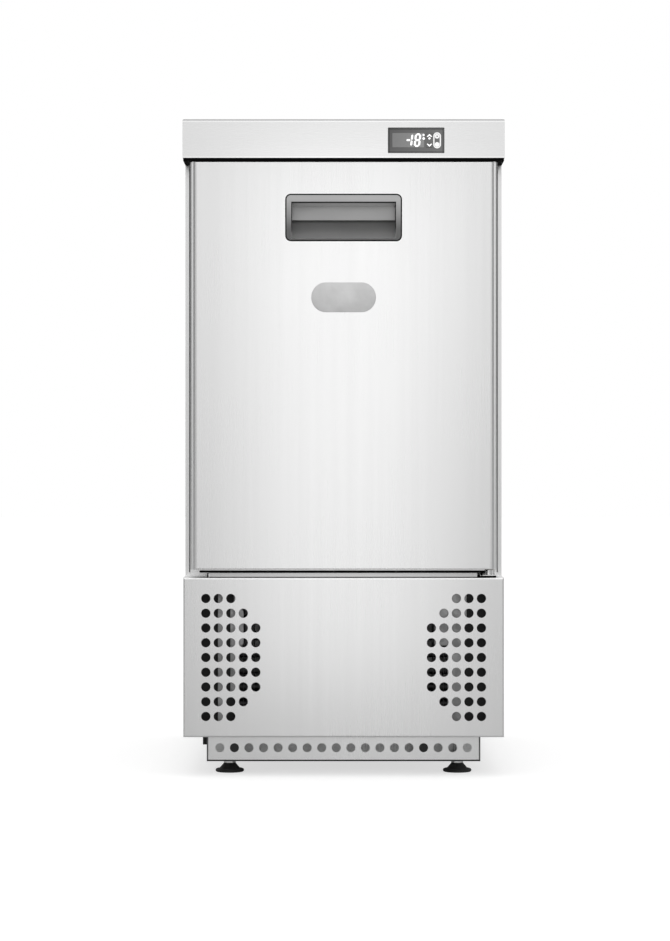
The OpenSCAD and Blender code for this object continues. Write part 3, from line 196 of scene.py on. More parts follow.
def blendLevels(tree, factor, first, second):
    # each level is one number or a socket
    node = addNode(tree, "ShaderNodeMix", data_type="FLOAT")
    tree.links.new(factor, node.inputs["Factor"])
    feed(tree, first, node.inputs[2])
    feed(tree, second, node.inputs[3])
    return node.outputs[0]


def greyRamp(tree, value, stops, interpolation):
    # value turned into the grey of its place among the stops, each a (place, level)
    node = addLinked(tree, "ShaderNodeValToRGB", value)
    ramp = node.color_ramp
    ramp.interpolation = interpolation
    while len(ramp.elements) < len(stops):
        ramp.elements.new(0.5)
    for element, (place, level) in zip(ramp.elements, stops):
        element.position = place
        element.color = (level, level, level, 1)
    return node.outputs["Color"]


def newGroup(name, inputs, outputs):
    tree = bpy.data.node_groups.new(name, "ShaderNodeTree")
    for socketName, kind, default in inputs:
        socket = tree.interface.new_socket(socketName, in_out="INPUT", socket_type=kind)
        if default is not None:
            socket.default_value = default
    for socketName in outputs:
        tree.interface.new_socket(socketName, in_out="OUTPUT", socket_type="NodeSocketFloat")
    return tree, tree.nodes.new("NodeGroupInput"), tree.nodes.new("NodeGroupOutput")


# effects that several finishes share, each built once
def sheetGrainGroup():
    # rolled and brushed sheet: noise drawn out along the grain, once fine and once broad
    tree, start, end = newGroup("sheetGrain", [
        ("Vector", "NodeSocketVector", None),
        ("Stretch", "NodeSocketVector", (1400.0, 1400.0, 12.0)),
        ("Broad", "NodeSocketFloat", 0.06)], ["Height", "Tone"])
    lines = vectorNode(tree, "MULTIPLY", start.outputs["Vector"], start.outputs["Stretch"])
    tree.links.new(noise(tree, lines, detail=2.0, roughness=0.6), end.inputs["Height"])
    wide = enlarged(tree, lines, start.outputs["Broad"])
    tree.links.new(noise(tree, wide, detail=4.0, roughness=0.55), end.inputs["Tone"])
    return tree


def handlingGroup():
    # broad soft patches left by wiping and by the protective film
    tree, start, end = newGroup("handling", [
        ("Vector", "NodeSocketVector", None),
        ("Scale", "NodeSocketFloat", 7.0)], ["Mask"])
    sized = enlarged(tree, start.outputs["Vector"], start.outputs["Scale"])
    patches = noise(tree, sized, detail=5.0, roughness=0.6)
    tree.links.new(spread(tree, patches, 0.0, 1.0, 0.35, 0.68), end.inputs["Mask"])
    return tree


def spangleGroup():
    # zinc crystals: one random grey for each Voronoi cell, with its distance as the relief
    tree, start, end = newGroup("spangle", [
        ("Vector", "NodeSocketVector", None),
        ("Scale", "NodeSocketFloat", 140.0)], ["Tone", "Height"])
    cells = addNode(tree, "ShaderNodeTexVoronoi", feature="F1")
    tree.links.new(start.outputs["Vector"], cells.inputs["Vector"])
    tree.links.new(start.outputs["Scale"], cells.inputs["Scale"])
    grains = addLinked(tree, "ShaderNodeSeparateColor", cells.outputs["Color"])
    tree.links.new(grains.outputs["Red"], end.inputs["Tone"])
    tree.links.new(cells.outputs["Distance"], end.inputs["Height"])
    return tree


def mouldGrainGroup():
    # spark-eroded mould skin: two sizes of pits mixed, with slow flow marks as the tone
    coarseShare, flowShare = (0.31, 0.31, 0.31), (0.012, 0.012, 0.02)
    tree, start, end = newGroup("mouldGrain", [
        ("Vector", "NodeSocketVector", None),
        ("Scale", "NodeSocketFloat", 1500.0)], ["Height", "Tone"])
    sized = enlarged(tree, start.outputs["Vector"], start.outputs["Scale"])
    fine = noise(tree, sized, detail=2.0, roughness=0.7)
    coarse = noise(tree, vectorNode(tree, "MULTIPLY", sized, coarseShare), detail=2.0)
    tree.links.new(mathNode(tree, "MULTIPLY", fine, coarse), end.inputs["Height"])
    flow = noise(tree, vectorNode(tree, "MULTIPLY", sized, flowShare), detail=3.0)
    tree.links.new(flow, end.inputs["Tone"])
    return tree


sheetGrain = sheetGrainGroup()
handling = handlingGroup()
spangle = spangleGroup()
mouldGrain = mouldGrainGroup()
print("freezer: shared effects built")


# finishes: a function for each kind of surface, with the numbers of its skin in a dictionary above it;
# roughness is a (least, most), relief a (strength, depth in metres)
class Finish:
    # a new material with its Principled shader, its object coordinates and the links that fill it

    def __init__(self, name, metallic=0.0, roughness=0.5, **sockets):
        self.material = bpy.data.materials.new(name)
        self.tree = emptyTree(self.material)
        output = addNode(self.tree, "ShaderNodeOutputMaterial")
        self.shader = addNode(self.tree, "ShaderNodeBsdfPrincipled")
        self.tree.links.new(self.shader.outputs[0], output.inputs["Surface"])
        self.shader.inputs["Metallic"].default_value = metallic
        self.shader.inputs["Roughness"].default_value = roughness
        for key, value in sockets.items():
            self.shader.inputs[key.replace("_", " ")].default_value = value
        self.place = addNode(self.tree, "ShaderNodeTexCoord").outputs["Object"]

    def group(self, tree, **values):
        node = addNode(self.tree, "ShaderNodeGroup", node_tree=tree)
        self.tree.links.new(self.place, node.inputs["Vector"])
        for key, value in values.items():
            node.inputs[key].default_value = value
        return node.outputs

    def colour(self, factor, first, second, fromLow=0.3, fromHigh=0.7):
        factor = spread(self.tree, factor, 0.0, 1.0, fromLow, fromHigh)
        self.tree.links.new(blendColours(self.tree, factor, first, second), self.shader.inputs["Base Color"])

    def rough(self, factor, roughness, fromLow=0.3, fromHigh=0.7):
        level = spread(self.tree, factor, *roughness, fromLow, fromHigh)
        self.tree.links.new(level, self.shader.inputs["Roughness"])

    def relief(self, height, strength, depth):
        bump = addNode(self.tree, "ShaderNodeBump")
        bump.inputs["Strength"].default_value = strength
        bump.inputs["Distance"].default_value = depth
        self.tree.links.new(height, bump.inputs["Height"])
        self.tree.links.new(bump.outputs[0], self.shader.inputs["Normal"])


uprightGrain = (1400.0, 1400.0, 12.0)
levelGrain = (12.0, 1400.0, 1400.0)
steelSkin = {"roughness": (0.25, 0.28), "wipeScale": 6.0, "wipeShare": 0.3, "wornRange": (0.3, 0.95),
    "relief": (0.02, 0.0002)}


def brushedSteel(name, light, dark, stretch):
    # stainless sheet: grain as relief and tone, wiped patches as roughness
    finish = Finish(name, metallic=1.0)
    grain = finish.group(sheetGrain, Stretch=stretch)
    wiped = finish.group(handling, Scale=steelSkin["wipeScale"])
    finish.colour(grain["Tone"], dark, light)
    worn = mathNode(finish.tree, "MULTIPLY_ADD", wiped["Mask"], steelSkin["wipeShare"], grain["Height"])
    finish.rough(worn, steelSkin["roughness"], *steelSkin["wornRange"])
    finish.relief(grain["Height"], *steelSkin["relief"])
    return finish.material


# the worktop's edge, from its foot up: a painted highlight on the lower fold, the plain edge, a painted dark
# line, a painted highlight on the upper fold
worktopPaintedFolds = {
    "heights": (worktopLow.z, worktopHigh.z),
    "stops": ((0.0, 1.0), (0.035, 0.80), (0.925, 1.0), (0.962, 0.0), (0.9985, 0.80)),
    "grain": 0.06,
}


def steelWithPaintedFolds(name, light, dark, stretch, folds):
    # sheet folded at its upper and lower front edges: its tone follows the height, one stop per line, as painted
    # highlights and shade
    finish = Finish(name, metallic=1.0)
    grain = finish.group(sheetGrain, Stretch=stretch)
    height = spread(finish.tree, apart(finish.tree, finish.place)["Z"], 0.0, 1.0, *folds["heights"])
    lines = greyRamp(finish.tree, height, folds["stops"], "CONSTANT")
    tone = mathNode(finish.tree, "MULTIPLY_ADD", grain["Tone"], folds["grain"], lines)
    finish.colour(tone, dark, light, folds["grain"] / 2, 1 + folds["grain"] / 2)
    finish.rough(grain["Height"], steelSkin["roughness"])
    finish.relief(grain["Height"], *steelSkin["relief"])
    return finish.material


zincSkin = {"metallic": 0.9, "crystals": 150.0, "wear": 18.0, "roughness": (0.34, 0.52),
    "relief": (0.04, 0.0004)}


def galvanisedSheet(name, light, dark):
    # folded galvanised sheet: its crystals as tone and relief, its wear as roughness
    finish = Finish(name, metallic=zincSkin["metallic"])
    crystals = finish.group(spangle, Scale=zincSkin["crystals"])
    worn = finish.group(handling, Scale=zincSkin["wear"])
    finish.colour(crystals["Tone"], dark, light, 0.0, 1.0)
    finish.rough(worn["Mask"], zincSkin["roughness"], 0.0, 1.0)
    finish.relief(crystals["Height"], *zincSkin["relief"])
    return finish.material


mouldDepth = 0.0002


def mouldedPlastic(name, light, dark, roughness, scale=1500.0, strength=0.12, shine=0.5):
    # plastic, rubber and black foam: they differ in the size and depth of the grain and in their shine
    finish = Finish(name, Specular_IOR_Level=shine)
    skin = finish.group(mouldGrain, Scale=scale)
    finish.colour(skin["Tone"], dark, light)
    finish.rough(skin["Tone"], roughness)
    finish.relief(skin["Height"], strength, mouldDepth)
    return finish.material


# painted light and shade of the handle; places here are from the middle of the handle's front: right, deep and
# up
handlePaintedShade = {
    "corner": 0.0070,
    "line": 0.0015,                     # painted shadow: a black line round the edge
    "face": 0.0016,                     # what lies deeper than this is the finger hollow
    "rim": (-0.014, 0.023),             # heights between which the face grows lighter: painted shade below, a painted highlight above
    # greys of the face's painted shade at the foot and its painted highlight at the top
    "paintedFaceShade": (grey(108), grey(181)),
    "wall": (-0.0055, -0.0025),         # heights between which the hollow grows darker: painted shade under the lip
    # greys of the hollow: painted light at its foot, painted shade under the lip
    "paintedHollowShade": (grey(242), grey(166)),
    "ceiling": 0.0197,                  # height over which the lip is black with painted shadow
    "lipShadow": (0.010, 0.026),        # depths between which that painted shadow fades
    "roof": (0.0200, 0.0210),           # over these heights the painted shadow is black at every depth
    "cheek": 0.065,                     # distance to the sides past which the cheeks are black with painted shadow
    "cheekShadow": (-0.022, -0.012),    # heights between which that painted shadow sets in
    "soft": 0.0003,
    # grey of the painted shadows
    "black": grey(24),
    "metallic": 0.8,
    "shine": 0.5,
    "skin": 1300.0,
    "roughness": (0.30, 0.38),
    "relief": (0.08, mouldDepth),
}


def coreDistance(tree, place, corner):
    # distance, seen from the front, to the handle's rectangle less its rounded corners: the length of
    # |place| - half size + corner, nowhere under 0
    low, high = handleBox
    core = ((high.x - low.x) / 2 - corner, 0, (high.z - low.z) / 2 - corner)
    over = vectorNode(tree, "SUBTRACT", vectorNode(tree, "ABSOLUTE", place), core)
    over = vectorNode(tree, "MAXIMUM", over, (0, 0, 0))
    return vectorNode(tree, "LENGTH", vectorNode(tree, "MULTIPLY", over, (1, 0, 1)))


def handlePaintedShadow(tree, place, shade, inner):
    # mask of the handle's painted shadow, in black: the lip and cheeks of the hollow, and outside it the edge's
    # line
    x, y, z = apart(tree, place)
    soft = shade["soft"]
    lip = mathNode(tree, "MULTIPLY", stepAt(tree, z, shade["ceiling"] - 2 * soft, soft),
        spread(tree, y, 1.0, 0.0, *shade["lipShadow"]))
    lip = mathNode(tree, "MAXIMUM", lip, spread(tree, z, 0.0, 1.0, *shade["roof"]))
    cheeks = mathNode(tree, "MULTIPLY",
        stepAt(tree, mathNode(tree, "ABSOLUTE", x), shade["cheek"] - 2 * soft, soft),
        spread(tree, z, 0.0, 1.0, *shade["cheekShadow"]))
    hollow = mathNode(tree, "MULTIPLY", mathNode(tree, "MAXIMUM", lip, cheeks), inner)
    lineFrom = shade["corner"] - shade["line"]
    line = stepAt(tree, coreDistance(tree, place, shade["corner"]), lineFrom - soft, soft)
    line = mathNode(tree, "MULTIPLY", line, mathNode(tree, "SUBTRACT", 1.0, inner))
    return mathNode(tree, "MAXIMUM", hollow, line)


def paintedShadeMoulding(name, shade):
    # the handle, in painted light and shade: its bowed face darkens downwards, the finger hollow has painted
    # tones of its own, and the black painted shadow has no metallic sheen
    finish = Finish(name, metallic=shade["metallic"])
    tree = finish.tree
    skin = finish.group(mouldGrain, Scale=shade["skin"])
    place = vectorNode(tree, "SUBTRACT", finish.place, frontMiddle(handleBox))
    parts = apart(tree, place)
    face = blendColours(tree, spread(tree, parts["Z"], 0.0, 1.0, *shade["rim"]), *shade["paintedFaceShade"])
    hollow = blendColours(tree, spread(tree, parts["Z"], 0.0, 1.0, *shade["wall"]), *shade["paintedHollowShade"])
    inner = stepAt(tree, parts["Y"], shade["face"], shade["soft"])
    black = handlePaintedShadow(tree, place, shade, inner)
    colour = blendColours(tree, black, blendColours(tree, inner, face, hollow), shade["black"])
    tree.links.new(colour, finish.shader.inputs["Base Color"])
    tree.links.new(spread(tree, black, shade["metallic"], 0.0, 0.0, 1.0), finish.shader.inputs["Metallic"])
    tree.links.new(spread(tree, black, shade["shine"], 0.0, 0.0, 1.0),
        finish.shader.inputs["Specular IOR Level"])
    finish.rough(skin["Tone"], shade["roughness"])
    finish.relief(skin["Height"], *shade["relief"])
    return finish.material


paintSkin = {"coat": 0.25, "coatRoughness": 0.25, "peel": 420.0, "relief": (0.10, 0.0005)}


def sprayedPaint(name, light, dark, roughness, metallic=0.0):
    # orange peel: the mould grain at a coarser scale, under a thin gloss
    finish = Finish(name, metallic=metallic, Coat_Weight=paintSkin["coat"],
        Coat_Roughness=paintSkin["coatRoughness"])
    peel = finish.group(mouldGrain, Scale=paintSkin["peel"])
    finish.colour(peel["Tone"], dark, light)
    finish.rough(peel["Tone"], roughness)
    finish.relief(peel["Height"], *paintSkin["relief"])
    return finish.material


drawnSkin = {"broad": 0.2, "stain": 45.0, "relief": (0.06, 0.0001)}


def drawnMetal(name, light, dark, stretch, roughness):
    # drawn wire, tube and strip: lines along the pull, darker where it is stained
    finish = Finish(name, metallic=1.0)
    lines = finish.group(sheetGrain, Stretch=stretch, Broad=drawnSkin["broad"])
    stain = finish.group(handling, Scale=drawnSkin["stain"])
    finish.colour(stain["Mask"], light, dark, 0.0, 1.0)
    finish.rough(lines["Tone"], roughness)
    finish.relief(lines["Height"], *drawnSkin["relief"])
    return finish.material


foamSkin = {"roughness": 0.85, "cells": 700.0, "cellRange": (0.0, 0.6), "relief": (0.35, 0.001)}


def foamedCore(name, light, dark):
    # foam: small cells, darker at their middles
    finish = Finish(name, roughness=foamSkin["roughness"])
    cells = finish.group(spangle, Scale=foamSkin["cells"])
    finish.colour(cells["Height"], dark, light, *foamSkin["cellRange"])
    finish.relief(cells["Height"], *foamSkin["relief"])
    return finish.material


boardSkin = {"roughness": 0.8, "chips": 260.0, "relief": (0.2, 0.0006)}


def pressedBoard(name, light, dark):
    # board of pressed chips: one tone for each chip
    finish = Finish(name, roughness=boardSkin["roughness"])
    chips = finish.group(spangle, Scale=boardSkin["chips"])
    finish.colour(chips["Tone"], dark, light, 0.0, 1.0)
    finish.relief(chips["Height"], *boardSkin["relief"])
    return finish.material


windowSkin = {"coat": 0.6, "coatRoughness": 0.05, "dust": 120.0, "roughness": (0.10, 0.2)}


def windowPaintedGloss(name, light, dark, riseFrom, riseTo):
    # smoked window: its tone rises between two distances from the left edge as a painted reflection, and faint
    # dust varies the gloss
    finish = Finish(name, Coat_Weight=windowSkin["coat"], Coat_Roughness=windowSkin["coatRoughness"])
    dust = finish.group(handling, Scale=windowSkin["dust"])
    left = lensBox[0].x
    finish.colour(apart(finish.tree, finish.place)["X"], dark, light, left + riseFrom, left + riseTo)
    finish.rough(dust["Mask"], windowSkin["roughness"], 0.0, 1.0)
    return finish.material


litSkin = {"light": grey(255), "roughness": 0.4, "scale": 900.0, "tones": (grey(225), grey(245))}


def litSegment(name, strength):
    # a pale surface that glows as if lit from behind; on the keys and their oval this glow is painted light
    finish = Finish(name, roughness=litSkin["roughness"], Emission_Strength=strength)
    finish.shader.inputs["Emission Color"].default_value = litSkin["light"]
    skin = finish.group(mouldGrain, Scale=litSkin["scale"])
    finish.colour(skin["Tone"], *litSkin["tones"])
    return finish.material


# the slots' finishes by name, then those of the trim
wireGrain = (500.0, 500.0, 500.0)
tubeGrain = (260.0, 260.0, 260.0)
finGrain = (900.0, 60.0, 60.0)
plateGrain = (18.0, 900.0, 900.0)
finishes = {
    "stainless": brushedSteel("stainlessUpright", grey(240), grey(237), uprightGrain),
    "worktopSteel": steelWithPaintedFolds("worktopSteel", grey(255), grey(160), levelGrain, worktopPaintedFolds),
    "inner_steel": sprayedPaint("innerWhite", grey(232), grey(226), (0.32, 0.42)),
    "galvanised": galvanisedSheet("galvanisedSheet", grey(194), grey(168)),
    "bright_steel": drawnMetal("brightSteel", grey(222), grey(196), wireGrain, (0.18, 0.3)),
    "foam": foamedCore("foamCore", srgb(226, 208, 150), srgb(196, 172, 108)),
    "core_board": pressedBoard("worktopBoard", srgb(190, 152, 104), srgb(142, 104, 64)),
    "black_plastic": mouldedPlastic("blackPlastic", grey(40), grey(32), (0.42, 0.55)),
    # the pale keys and their oval glow a little: painted light
    "key_white": litSegment("keyPaintedGlow", 0.45),
    "segment": litSegment("litSegment", 0.75),
    "lens": windowPaintedGloss("smokedWindow", grey(118), grey(84), 0.0, 0.060),
    "frame_plastic": mouldedPlastic("frameGrey", grey(208), grey(200), (0.4, 0.5)),
    "white_plastic": mouldedPlastic("whitePlastic", grey(236), grey(230), (0.36, 0.46)),
    "handle_grey": paintedShadeMoulding("handleGrey", handlePaintedShade),
    "nylon": mouldedPlastic("naturalNylon", srgb(230, 226, 214), srgb(220, 214, 200), (0.35, 0.45)),
    "gasket": mouldedPlastic("gasketGrey", grey(150), grey(138), (0.5, 0.62), 900.0, 0.15),
    "black_rubber": mouldedPlastic("blackRubber", grey(38), grey(28), (0.5, 0.7), 800.0, 0.25),
    "black_paint": sprayedPaint("blackEnamel", grey(34), grey(26), (0.28, 0.4)),
    "copper": drawnMetal("drawnCopper", srgb(226, 152, 112), srgb(178, 102, 70), tubeGrain, (0.22, 0.38)),
    "fin_aluminium": drawnMetal("finAluminium", grey(214), grey(188), finGrain, (0.3, 0.42)),
    "motor_paint": sprayedPaint("motorGrey", grey(96), grey(84), (0.4, 0.5), 0.3),
    "fan_plastic": mouldedPlastic("fanPlastic", grey(58), grey(48), (0.4, 0.52)),
    "shelf_coating": mouldedPlastic("shelfCoating", grey(228), grey(220), (0.28, 0.38), 1800.0, 0.05),
    "readoutField": windowPaintedGloss("readoutField", grey(160), grey(138), 0.005, 0.045),
    "windowRim": windowPaintedGloss("windowRim", grey(84), grey(52), 0.0, 0.065),
    "satinPlate": drawnMetal("satinPlate", grey(214), grey(202), plateGrain, (0.34, 0.44)),
    # black of the painted shadows under the worktop, under the door and round the sill
    "paintedShadowBlack": mouldedPlastic("paintedShadowBlack", grey(5), grey(3), (0.85, 0.95), 700.0, 0.3, 0.1),
    # darker copy of the door's steel: painted shade on the sill under the door
    "sillSteelPaintedShade": brushedSteel("sillSteelPaintedShade", grey(206), grey(200), levelGrain),
    # grey of the painted shade beside the door and at the plinth's ends
    "paintedShadeGrey": mouldedPlastic("paintedShadeGrey", grey(112), grey(102), (0.6, 0.7), 900.0, 0.15),
}


def finishOfNodes():
    # each node takes its slot's finish; the worktop and the arrow keys have one of their own
    slotOf = {part["node"]: part["material_slot"] for part in record["subparts"]}
    special = {"worktop": "worktopSteel", "key_up": "lens", "key_down": "lens"}
    for name, part in nodeObjects.items():
        material = finishes[special.get(name, slotOf[name])]
        if part.material_slots:
            for place in part.material_slots:
                place.material = material
        else:
            part.data.materials.append(material)


finishOfNodes()
print("freezer: finishes on the frame's nodes")


# shapes: outlines in a flat plane, and surfaces carried along them
def roundedOutline(width, height, radius, cornerSteps=8):
    # points and outward directions: each corner is a quarter turn about its own centre
    turns = np.linspace(0, math.pi / 2, cornerSteps)
    angles = (np.arange(4)[:, None] * math.pi / 2 + turns[None, :]).ravel()
    signs = np.repeat([(1, 1), (-1, 1), (-1, -1), (1, -1)], cornerSteps, axis=0)
    centres = signs * (width / 2 - radius, height / 2 - radius)
    outward = np.stack([np.cos(angles), np.sin(angles)], axis=1)
    return centres + radius * outward, outward


def circleOutline(diameter, steps):
    # points and outward directions: equal turns about the middle, each point its direction times the radius
    angles = np.arange(steps) * 2 * math.pi / steps
    outward = np.stack([np.cos(angles), np.sin(angles)], axis=1)
    return outward * diameter / 2, outward


def gridFaces(rows, columns, wrapRows=False):
    # quads of a grid whose columns close on themselves
    down = np.arange(rows if wrapRows else rows - 1)
    i, j = np.meshgrid(down, np.arange(columns), indexing="ij")
    nextRow, nextColumn = (i + 1) % rows, (j + 1) % columns
    quads = [i * columns + j, i * columns + nextColumn, nextRow * columns + nextColumn, nextRow * columns + j]
    return np.stack(quads, axis=-1).reshape(-1, 4).tolist()


def closedFaces(rows, columns):
    # the same grid with its first and last ring closed by one face each
    first = list(range(columns))[::-1]
    last = list(range((rows - 1) * columns, rows * columns))
    return gridFaces(rows, columns) + [first, last]


# the ways that a flat shape can face
frontWards = {"across": (1, 0, 0), "up": (0, 0, 1), "out": (0, -1, 0)}
backWards = {"across": (-1, 0, 0), "up": (0, 0, 1), "out": (0, 1, 0)}
upWards = {"across": (1, 0, 0), "up": (0, 1, 0), "out": (0, 0, 1)}
downWards = {"across": (1, 0, 0), "up": (0, -1, 0), "out": (0, 0, -1)}


def placed(flat, heights, origin, across, up, out):
    # points of a flat outline at the given heights: origin + u across + v up + h out
    axes = np.array([across, up, out], dtype=float)
    return np.array(origin) + np.concatenate([flat, heights[..., None]], axis=-1) @ axes


def carried(outline, outward, profile):
    # a profile of (offset outwards, height) carried round an outline, as rows of rings
    profile = np.asarray(profile, dtype=float)
    flat = outline[None, :, :] + outward[None, :, :] * profile[:, None, :1]
    heights = np.repeat(profile[:, 1:], len(outline), axis=1)
    return flat, heights


def plateSurface(outline, outward, thick, edge, origin, axes, edgeSteps=5):
    # a flat plate: straight wall, quarter-round edge, flat top; both ends closed by one face each
    turns = np.linspace(0, math.pi / 2, edgeSteps)
    rim = np.stack([edge * (np.cos(turns) - 1), thick - edge + edge * np.sin(turns)], axis=1)
    profile = np.vstack([[0.0, 0.0], rim])
    points = placed(*carried(outline, outward, profile), origin, **axes)
    return points, closedFaces(len(profile), len(outline))


def ringSurface(outline, outward, width, thick, origin, axes, softShare=0.4):
    # a flat ring with softened corners: a closed six-point section carried round an outline
    soft = thick * softShare
    section = [(0, 0), (0, thick - soft), (-soft, thick), (-width + soft, thick), (-width, thick - soft),
        (-width, 0)]
    points = placed(*carried(outline, outward, section), origin, **axes)
    return points, gridFaces(len(section), len(outline), wrapRows=True)


def prismOf(shape, thick, origin, axes):
    # a closed flat prism over an outline that may be hollowed like an arrow head
    shape = np.asarray(shape, dtype=float)
    flat = np.stack([shape, shape])
    heights = np.repeat([[0.0], [thick]], len(shape), axis=1)
    return placed(flat, heights, origin, **axes), closedFaces(2, len(shape))


def boxSurface(low, high):
    # a plain closed box between two corners
    corners = [(low[0], low[2]), (high[0], low[2]), (high[0], high[2]), (low[0], high[2])]
    return prismOf(corners, high[1] - low[1], (0, high[1], 0), frontWards)


def markDisc(diameter, thick, origin, steps=24):
    # a thin round mark on a front face, its edge rounded over half its thickness
    return plateSurface(*circleOutline(diameter, steps), thick, thick / 2, origin, frontWards, edgeSteps=3)


def joined(surfaces):
    # several (points, faces) made one, each one's faces moved on by the points before it
    points, faces, start = [], [], 0
    for somePoints, someFaces in surfaces:
        somePoints = somePoints.reshape(-1, 3)
        points.append(somePoints)
        faces += [[start + k for k in face] for face in someFaces]
        start += len(somePoints)
    return np.vstack(points), faces


def addPiece(name, surface, finish, body, smooth=False):
    points, faces = surface
    mesh = bpy.data.meshes.new(name)
    mesh.from_pydata(points.reshape(-1, 3).tolist(), [], faces)
    mesh.validate()
    if smooth:
        mesh.shade_smooth()
    piece = bpy.data.objects.new(name, mesh)
    scene.collection.objects.link(piece)
    mesh.materials.append(finishes[finish])
    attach(piece, body)


# readout behind the window: a generic temperature in slanted seven-segment figures
readout = {
    "height": 0.0168,
    "stroke": 0.0024,
    "gap": 0.00022,
    "slant": 0.12,
    "thick": 0.00008,
    "right": 0.0017,            # from the window's middle to the last figure's
    "up": 0.0003,
    # each figure's name, its shift to the right and its width
    "figures": (("eight", 0.0, 0.0079), ("one", -0.0099, 0.0079), ("minus", -0.0113, 0.0082)),
    # each dot's shift to the right and upwards, and its diameter
    "dots": ((0.0075, 0.0064, 0.0027), (0.0077, 0.0020, 0.0031)),
}
segmentsOf = {"minus": "g", "one": "bc", "eight": "abcdefg"}


def segmentShape(letter, width, settings):
    # a six-cornered bar between two corners of the figure, upright or level, then slanted
    w = width / 2 - settings["stroke"] / 2
    h = settings["height"] / 2 - settings["stroke"] / 2
    ends = {"a": ((-w, h), (w, h)), "g": ((-w, 0), (w, 0)), "d": ((-w, -h), (w, -h)),
        "f": ((-w, 0), (-w, h)), "b": ((w, 0), (w, h)), "e": ((-w, -h), (-w, 0)), "c": ((w, -h), (w, 0))}
    start, stop = (np.array(p) for p in ends[letter])
    along = (stop - start) / np.linalg.norm(stop - start)
    side = np.array([-along[1], along[0]]) * settings["stroke"] / 2
    start, stop = start + along * settings["gap"], stop - along * settings["gap"]
    inset = along * settings["stroke"] / 2
    shape = np.array([start, start + inset - side, stop - inset - side, stop, stop - inset + side,
        start + inset + side])
    shape[:, 0] += shape[:, 1] * settings["slant"]
    return shape


def addReadout(settings):
    thick = settings["thick"]
    middle = frontMiddle(lensBox, settings["right"], settings["up"])
    marks = []
    for figure, shift, width in settings["figures"]:
        origin = np.add(middle, (shift, 0, 0))
        marks += [prismOf(segmentShape(letter, width, settings), thick, origin, frontWards)
            for letter in segmentsOf[figure]]
    marks += [markDisc(diameter, thick, np.add(middle, (right, 0, lift)))
        for right, lift, diameter in settings["dots"]]
    addPiece("readout_figures", joined(marks), "segment", "cabinet")


addReadout(readout)


# window trim: a low step round the window and the readout's paler field
windowTrim = {"margin": 0.0002, "width": 0.0021, "thick": 0.0004, "radius": 0.0010}
readoutField = {"size": (0.0393, 0.0176), "radius": 0.0008, "thick": 0.00005, "right": -0.0099, "up": 0.0003}


def addWindowStep(settings):
    size = lensBox[1] - lensBox[0]
    outline, outward = roundedOutline(size.x - 2 * settings["margin"], size.z - 2 * settings["margin"],
        settings["radius"])
    step = ringSurface(outline, outward, settings["width"], settings["thick"],
        frontMiddle(lensBox), frontWards)
    addPiece("window_step", step, "windowRim", "cabinet")


def addReadoutField(settings):
    outline, outward = roundedOutline(*settings["size"], settings["radius"])
    field = plateSurface(outline, outward, settings["thick"], settings["thick"] / 2,
        frontMiddle(lensBox, settings["right"], settings["up"]), frontWards, edgeSteps=2)
    addPiece("readout_field", field, "readoutField", "cabinet")


addWindowStep(windowTrim)
addReadoutField(readoutField)


# marks: arrow heads and an eye that ride on their keys, a pilot dot, and the oval round the two round keys
keyMarks = {
    "width": 0.0066,
    "height": 0.0034,
    "stroke": 0.0017,
    "cuts": (0.2, 0.8, 1.3),    # shares of the stroke: each foot's height and width, and the point's depth
    "thick": 0.00006,
    "dot": 0.0028,
    "dotUp": 0.0025,
    "eye": 0.0017,
    "oval": (0.0095, 0.0198),
    "ovalWidth": 0.0015,
    "ovalThick": 0.0003,
    "hair": 0.00001,
}


def arrowHead(settings, way):
    # a chevron that points up for way 1 and down for -1, with two flat feet
    w, h = settings["width"] / 2, settings["height"] / 2
    foot, inside, point = (settings["stroke"] * share for share in settings["cuts"])
    shape = np.array([(-w, -h), (0, h), (w, -h), (w, -h - foot), (w - inside, -h - foot), (0, h - point),
        (-w + inside, -h - foot), (-w, -h - foot)])[::-1]
    shape[:, 1] *= way
    return shape if way > 0 else shape[::-1]


def addKeyMarks(settings):
    thick = settings["thick"]
    for key, way in (("key_up", 1), ("key_down", -1)):
        mark = prismOf(arrowHead(settings, way), thick, frontMiddle(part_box(key)), frontWards)
        addPiece(key + "_arrow", mark, "segment", key)
    lensMiddle = frontMiddle(lensBox)
    dotPlace = (frontMiddle(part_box("key_up"))[0], lensMiddle[1], lensMiddle[2] + settings["dotUp"])
    addPiece("pilot_dot", markDisc(settings["dot"], thick, dotPlace), "segment", "cabinet")
    infoMiddle = frontMiddle(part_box("key_info"))
    eye = markDisc(settings["eye"], thick, infoMiddle, steps=20)
    addPiece("key_info_eye", eye, "black_plastic", "key_info")
    # the oval's ends are half circles, but for a hair's breadth that keeps its points apart
    radius = settings["oval"][0] / 2 - settings["hair"]
    outline, outward = roundedOutline(*settings["oval"], radius, cornerSteps=16)
    oval = ringSurface(outline, outward, settings["ovalWidth"], settings["ovalThick"],
        (infoMiddle[0], *lensMiddle[1:]), frontWards)
    # the oval's faint glow, from the key finish, is painted light
    addPiece("key_oval", oval, "key_white", "cabinet")


addKeyMarks(keyMarks)
print("freezer: display made")


# plain plate on the door
doorPlate = {"width": 0.080, "height": 0.037, "radius": 0.018, "thick": 0.0009, "edge": 0.0005,
    "aboveFloor": 0.595}


def addDoorPlate(settings):
    outline, outward = roundedOutline(settings["width"], settings["height"], settings["radius"],
        cornerSteps=16)
    origin = ((doorLow.x + doorHigh.x) / 2, doorLow.y, settings["aboveFloor"])
    plate = plateSurface(outline, outward, settings["thick"], settings["edge"], origin, frontWards)
    addPiece("door_plate", plate, "satinPlate", "door", smooth=True)


addDoorPlate(doorPlate)
print("freezer: door plate made")


# black strip under the worktop's overhang, over the door: painted shadow of the gap and the overhang
gapShadowStrip = {"thick": 0.0036, "side": 0.0008, "front": 0.0010, "setback": 0.004, "gap": 0.0012}


